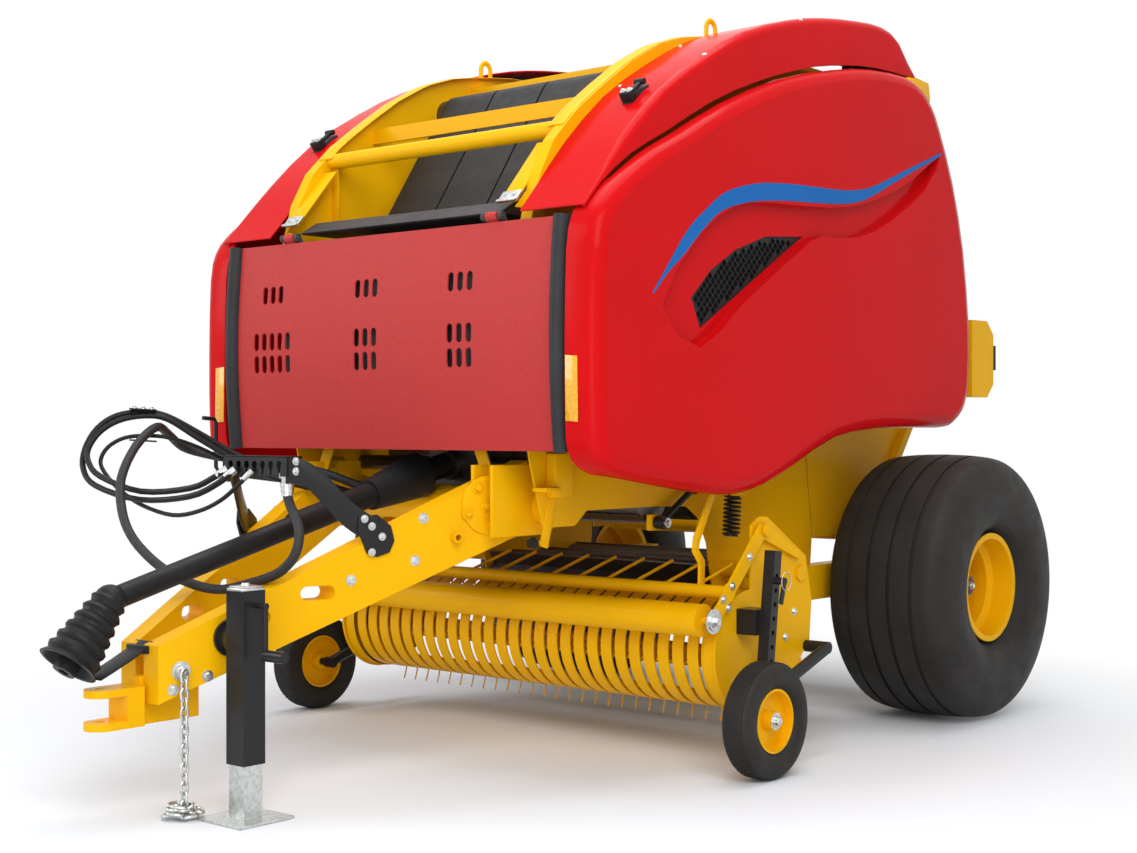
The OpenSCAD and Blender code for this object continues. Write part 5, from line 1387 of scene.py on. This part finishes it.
class BALER_OT_wheels(bpy.types.Operator):
    """Wheel nuts, hubs, caps and valves, and the gauge tyres' tread"""

    bl_idname = "baler.wheels"
    bl_label = "Wheels"

    OUTSIDE, ASIDE = 1.4, 1 * MM
    NUTS, NUT_CIRCLE, NUT = 8, 0.105, (12 * MM, 1.5)
    HUB_END, HUB_SINK, HUB_FOOT, HUB_TOP = 1.085, 2, *mm(62, 54)
    FLANGE_AT, FLANGE = -14, (*mm(20, 58, 10), 40)
    CAP = ((0, *mm(46, 40, 16), 36), (16, *mm(30, 24, 8), 36))
    CAP_BOLT_AT, CAP_BOLT = 24, (12 * MM, 1.2)
    VALVE_Y, VALVE_RISE, VALVE = 0.165, 0.02, (*mm(6, 4, 34), 14)

    GAUGE_OUTSIDE, GAUGE_FACE = 1.5, 1.20
    GAUGE_WASHER, GAUGE_BOLT_AT, GAUGE_BOLT = (*mm(8, 30, 5), 28), 5, (16 * MM, 1.25)
    TREAD_ROWS, TREAD_BLOCKS, TREAD_SLANT = (-0.030, -0.015, 0.0, 0.015, 0.030), 54, 0.22
    TREAD_LENGTH, TREAD_WIDTH, TREAD_SINK, TREAD_FROM = 17 * MM, 10 * MM, 0.2, 1.4

    def execute(self, context):
        for name, s in SIDES.items():
            self.main_wheel(name, s)
            self.gauge_wheel(name, s)
        return {"FINISHED"}

    def main_wheel(self, name, s):
        rim, body = "rim_" + name, "wheel_" + name
        out = LEFT * s
        nuts, hub, cap = bmesh.new(), bmesh.new(), bmesh.new()
        for i in range(self.NUTS):
            a = math.tau * (i + 0.5) / self.NUTS
            spot = hit(rim, at(s * self.OUTSIDE, self.NUT_CIRCLE * math.cos(a),
                               AXLE.z + self.NUT_CIRCLE * math.sin(a)), -out)
            if spot:
                add_bolt(nuts, spot, out, *self.NUT)
        face = hit(rim, at(s * self.OUTSIDE, self.ASIDE, AXLE.z), -out).x
        root, end = off(at(face, 0, AXLE.z), (out, -self.HUB_SINK)), at(s * self.HUB_END, 0, AXLE.z)
        add_round(hub, root, out, self.HUB_FOOT, self.HUB_TOP, (end - root).length, 40)
        add_ring(hub, off(end, (out, self.FLANGE_AT)), out, *self.FLANGE)
        for lift, *step in self.CAP:
            add_round(cap, off(end, (out, lift)), out, *step)
        add_bolt(nuts, off(end, (out, self.CAP_BOLT_AT)), out, *self.CAP_BOLT)
        valve = hit(rim, at(s * self.OUTSIDE, self.VALVE_Y, AXLE.z + self.VALVE_RISE), -out)
        if valve:
            add_round(nuts, valve, out, *self.VALVE)
        add_piece("wheel_hub_" + name, hub, body, "yellow_paint", 40)
        add_piece("hub_cap_" + name, cap, body, "dark_steel", 40)
        add_piece("wheel_nuts_" + name, nuts, body, "zinc")

    def gauge_wheel(self, name, s):
        low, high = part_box("gauge_tyre_" + name)
        middle, radius = (low + high) / 2, (high.z - low.z) / 2
        out = LEFT * s
        bm = bmesh.new()
        start = Vector((s * self.GAUGE_OUTSIDE, middle.y + self.ASIDE, middle.z))
        face = hit("gauge_rim_" + name, start, -out)
        face = face or Vector((s * self.GAUGE_FACE, middle.y, middle.z))
        add_ring(bm, face, out, *self.GAUGE_WASHER)
        add_bolt(bm, off(face, (out, self.GAUGE_BOLT_AT)), out, *self.GAUGE_BOLT)
        add_piece("gauge_hub_" + name, bm, "gauge_wheel_" + name, "zinc")
        self.tread(name, middle, radius)

    def tread(self, name, middle, radius):
        """Rows of slanted blocks round a gauge tyre."""
        bm = bmesh.new()
        height = sizes().tread_height
        size = (self.TREAD_LENGTH, self.TREAD_WIDTH, height * (1 + 2 * self.TREAD_SINK))
        for row, shift in enumerate(self.TREAD_ROWS):
            odd = row % 2
            for i in range(self.TREAD_BLOCKS):
                a = math.tau * (i + 0.5 * odd) / self.TREAD_BLOCKS
                way = Vector((0, math.cos(a), math.sin(a)))
                far = middle + LEFT * shift + way * radius * self.TREAD_FROM
                spot = hit("gauge_tyre_" + name, far, -way)
                if spot:
                    along = Vector((self.TREAD_SLANT * (1 if odd else -1), -way.z, way.y))
                    add_slab(bm, spot - way * height * self.TREAD_SINK, along, way, size)
        add_piece("gauge_tread_" + name, bm, "gauge_wheel_" + name, "tyre_rubber", 20)


class BALER_OT_rear(bpy.types.Operator):
    """Ears at the tailgate's top and rims round its lamps"""

    bl_idname = "baler.rear"
    bl_label = "Rear"

    EAR = ((0, 0), (0, 0.89), (0.25, 1), (0.95, 0.93), (1, 0.62), (0.88, 0))
    EAR_FIELD, EAR_THICK = ((0.627, 0.230, 2.560), 0.285, 0.225), 10 * MM
    EDGE = 1.5 * MM
    EAR_BARS = ((0.660, 34 * MM, (0.232, 2.560), (0.242, 2.755), EDGE),
                (0.610, 22 * MM, (0.235, 2.550), (0.440, 2.572), EDGE))
    RIM, RIM_LAP, RIM_LIFT, RIM_EDGE = mm(10, 6, 3, 2)

    def execute(self, context):
        self.ears()
        self.lamp_rims()
        return {"FINISHED"}

    def ears(self):
        bm = bmesh.new()
        for s in SIDES.values():
            outline = side_outline(s, self.EAR, *self.EAR_FIELD)
            add_plate(bm, outline, (s * self.EAR_THICK, 0, 0), self.EDGE)
            for x, *bar in self.EAR_BARS:
                add_bar(bm, s * x, *bar)
        add_piece("tailgate_ears", bm, "tailgate", "yellow_paint")

    def lamp_rims(self):
        """Four bars round each lens."""
        low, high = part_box("tail_lenses")
        inner = min(abs(v.co.x) for v in frame["nodes"]["tail_lenses"].data.vertices)
        bm = bmesh.new()
        back = high.y + self.RIM_LIFT
        for s in SIDES.values():
            x0, x1 = sorted((s * high.x, s * inner))
            for z in (low.z - self.RIM, high.z):
                add_box(bm, (x0 - self.RIM_LAP, low.y, z), (x1 + self.RIM_LAP, back, z + self.RIM),
                        self.RIM_EDGE)
            for x in (x0 - self.RIM, x1):
                add_box(bm, (x, low.y, low.z - self.RIM), (x + self.RIM, back, high.z + self.RIM),
                        self.RIM_EDGE)
        add_piece("lamp_rims", bm, "tailgate", "black_plastic")


class BALER_OT_stripes(bpy.types.Operator):
    """Blue stripe, reflector and a near-black sheet of painted shade behind the grille on each side shield
    """

    bl_idname = "baler.stripes"
    bl_label = "Stripes"

    UPPER = ((-2.026, 1.648), (-1.940, 1.748), (-1.870, 1.831), (-1.808, 1.893), (-1.735, 1.946),
             (-1.607, 2.025), (-1.419, 2.075), (-1.215, 2.096), (-1.029, 2.104), (-0.851, 2.111),
             (-0.728, 2.124), (-0.601, 2.153), (-0.370, 2.237), (-0.058, 2.349))
    LOWER = ((-2.018, 1.646), (-1.934, 1.725), (-1.843, 1.794), (-1.749, 1.876), (-1.630, 1.956),
             (-1.475, 2.001), (-1.311, 2.024), (-1.173, 2.035), (-1.000, 2.045), (-0.836, 2.058),
             (-0.728, 2.076), (-0.617, 2.110), (-0.370, 2.212), (-0.055, 2.337))
    STRIPE_PARTS = 6
    # x and z of the reflector's corners
    REFLECTOR = ((0.874, 1.225), (0.926, 1.222), (0.922, 1.434), (0.871, 1.438))
    REFLECTOR_THICK, REFLECTOR_EDGE = 2.5 * MM, 0.8 * MM
    MESH = ((0.222, 0.410), (0.242, 0.347), (0.360, 0.450), (0.498, 0.570), (0.400, 0.558),
            (0.325, 0.520), (0.266, 0.470))
    MESH_FIELD = (0.938, -2.316, 0.966), 2.541, 1.670
    MESH_LAP, MESH_THICK = 1.06, 5 * MM

    def execute(self, context):
        for name, s in SIDES.items():
            self.stripe(name, s)
            self.reflector(name, s)
            self.backing(name, s)
        return {"FINISHED"}

    def stripe(self, name, s):
        """Film between two flowing lines along the shield."""
        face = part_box("shield_left")[1].x
        bm = bmesh.new()
        edges = []
        for line in (self.UPPER, self.LOWER):
            points = flow([at(s * face, *p) for p in line], self.STRIPE_PARTS)
            verts = [bm.verts.new(p) for p in points]
            edges += [bm.edges.new(pair) for pair in zip(verts, verts[1:])]
        bmesh.ops.bridge_loops(bm, edges=edges)
        made = bmesh.ops.extrude_face_region(bm, geom=bm.faces[:])["geom"]
        bmesh.ops.translate(bm, vec=(s * sizes().stripe_lift, 0, 0), verts=verts_of(made))
        add_piece("stripe_" + name, bm, "shield_" + name, "blue_film")

    def reflector(self, name, s):
        """Amber reflector up the shield's front edge."""
        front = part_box("shield_rim_left")[0].y
        bm = bmesh.new()
        add_plate(bm, [(s * x, front, z) for x, z in self.REFLECTOR], (0, -self.REFLECTOR_THICK, 0),
                  self.REFLECTOR_EDGE)
        add_piece("reflector_" + name, bm, "shield_" + name, "amber_tape")

    def backing(self, name, s):
        """Near-black sheet behind the grille, a little larger than its opening: painted shade for the
        machine's dark inside.
        """
        bm = bmesh.new()
        outline = side_outline(s, self.MESH, *self.MESH_FIELD)
        middle = sum(outline, Vector()) / len(outline)
        add_plate(bm, [middle + (p - middle) * self.MESH_LAP for p in outline], (s * self.MESH_THICK, 0, 0))
        add_piece("grille_backing_" + name, bm, "shield_" + name, "grille_dark")


class BALER_PT_looks(bpy.types.Panel):
    """Lists the steps that dress the baler"""

    bl_idname = "BALER_PT_looks"
    bl_label = "Round baler"
    bl_space_type = "VIEW_3D"
    bl_region_type = "UI"
    bl_category = "Baler"

    def draw(self, context):
        for operator in OPERATORS:
            self.layout.operator(operator.bl_idname)
        for group in (context.scene.baler_sizes, context.scene.baler_colours):
            for key in group.__annotations__:
                self.layout.prop(group, key)


OPERATORS = (
    BALER_OT_stage, BALER_OT_hoses, BALER_OT_finishes, BALER_OT_skins, BALER_OT_front, BALER_OT_tongue,
    BALER_OT_stand, BALER_OT_pickup, BALER_OT_wheels, BALER_OT_rear, BALER_OT_stripes)
CLASSES = (BalerColours, BalerSizes, *OPERATORS, BALER_PT_looks)


def register():
    for cls in CLASSES:
        bpy.utils.register_class(cls)
    bpy.types.Scene.baler_colours = bpy.props.PointerProperty(type=BalerColours)
    bpy.types.Scene.baler_sizes = bpy.props.PointerProperty(type=BalerSizes)


def unregister():
    del bpy.types.Scene.baler_sizes
    del bpy.types.Scene.baler_colours
    for cls in reversed(CLASSES):
        bpy.utils.unregister_class(cls)


def main():
    register()
    bpy.ops.baler.stage()
    bpy.ops.baler.hoses()
    bpy.ops.baler.finishes()
    bpy.ops.baler.skins()
    bpy.ops.baler.front()
    bpy.ops.baler.tongue()
    bpy.ops.baler.stand()
    bpy.ops.baler.pickup()
    bpy.ops.baler.wheels()
    bpy.ops.baler.rear()
    bpy.ops.baler.stripes()


if __name__ == "__main__":
    main()
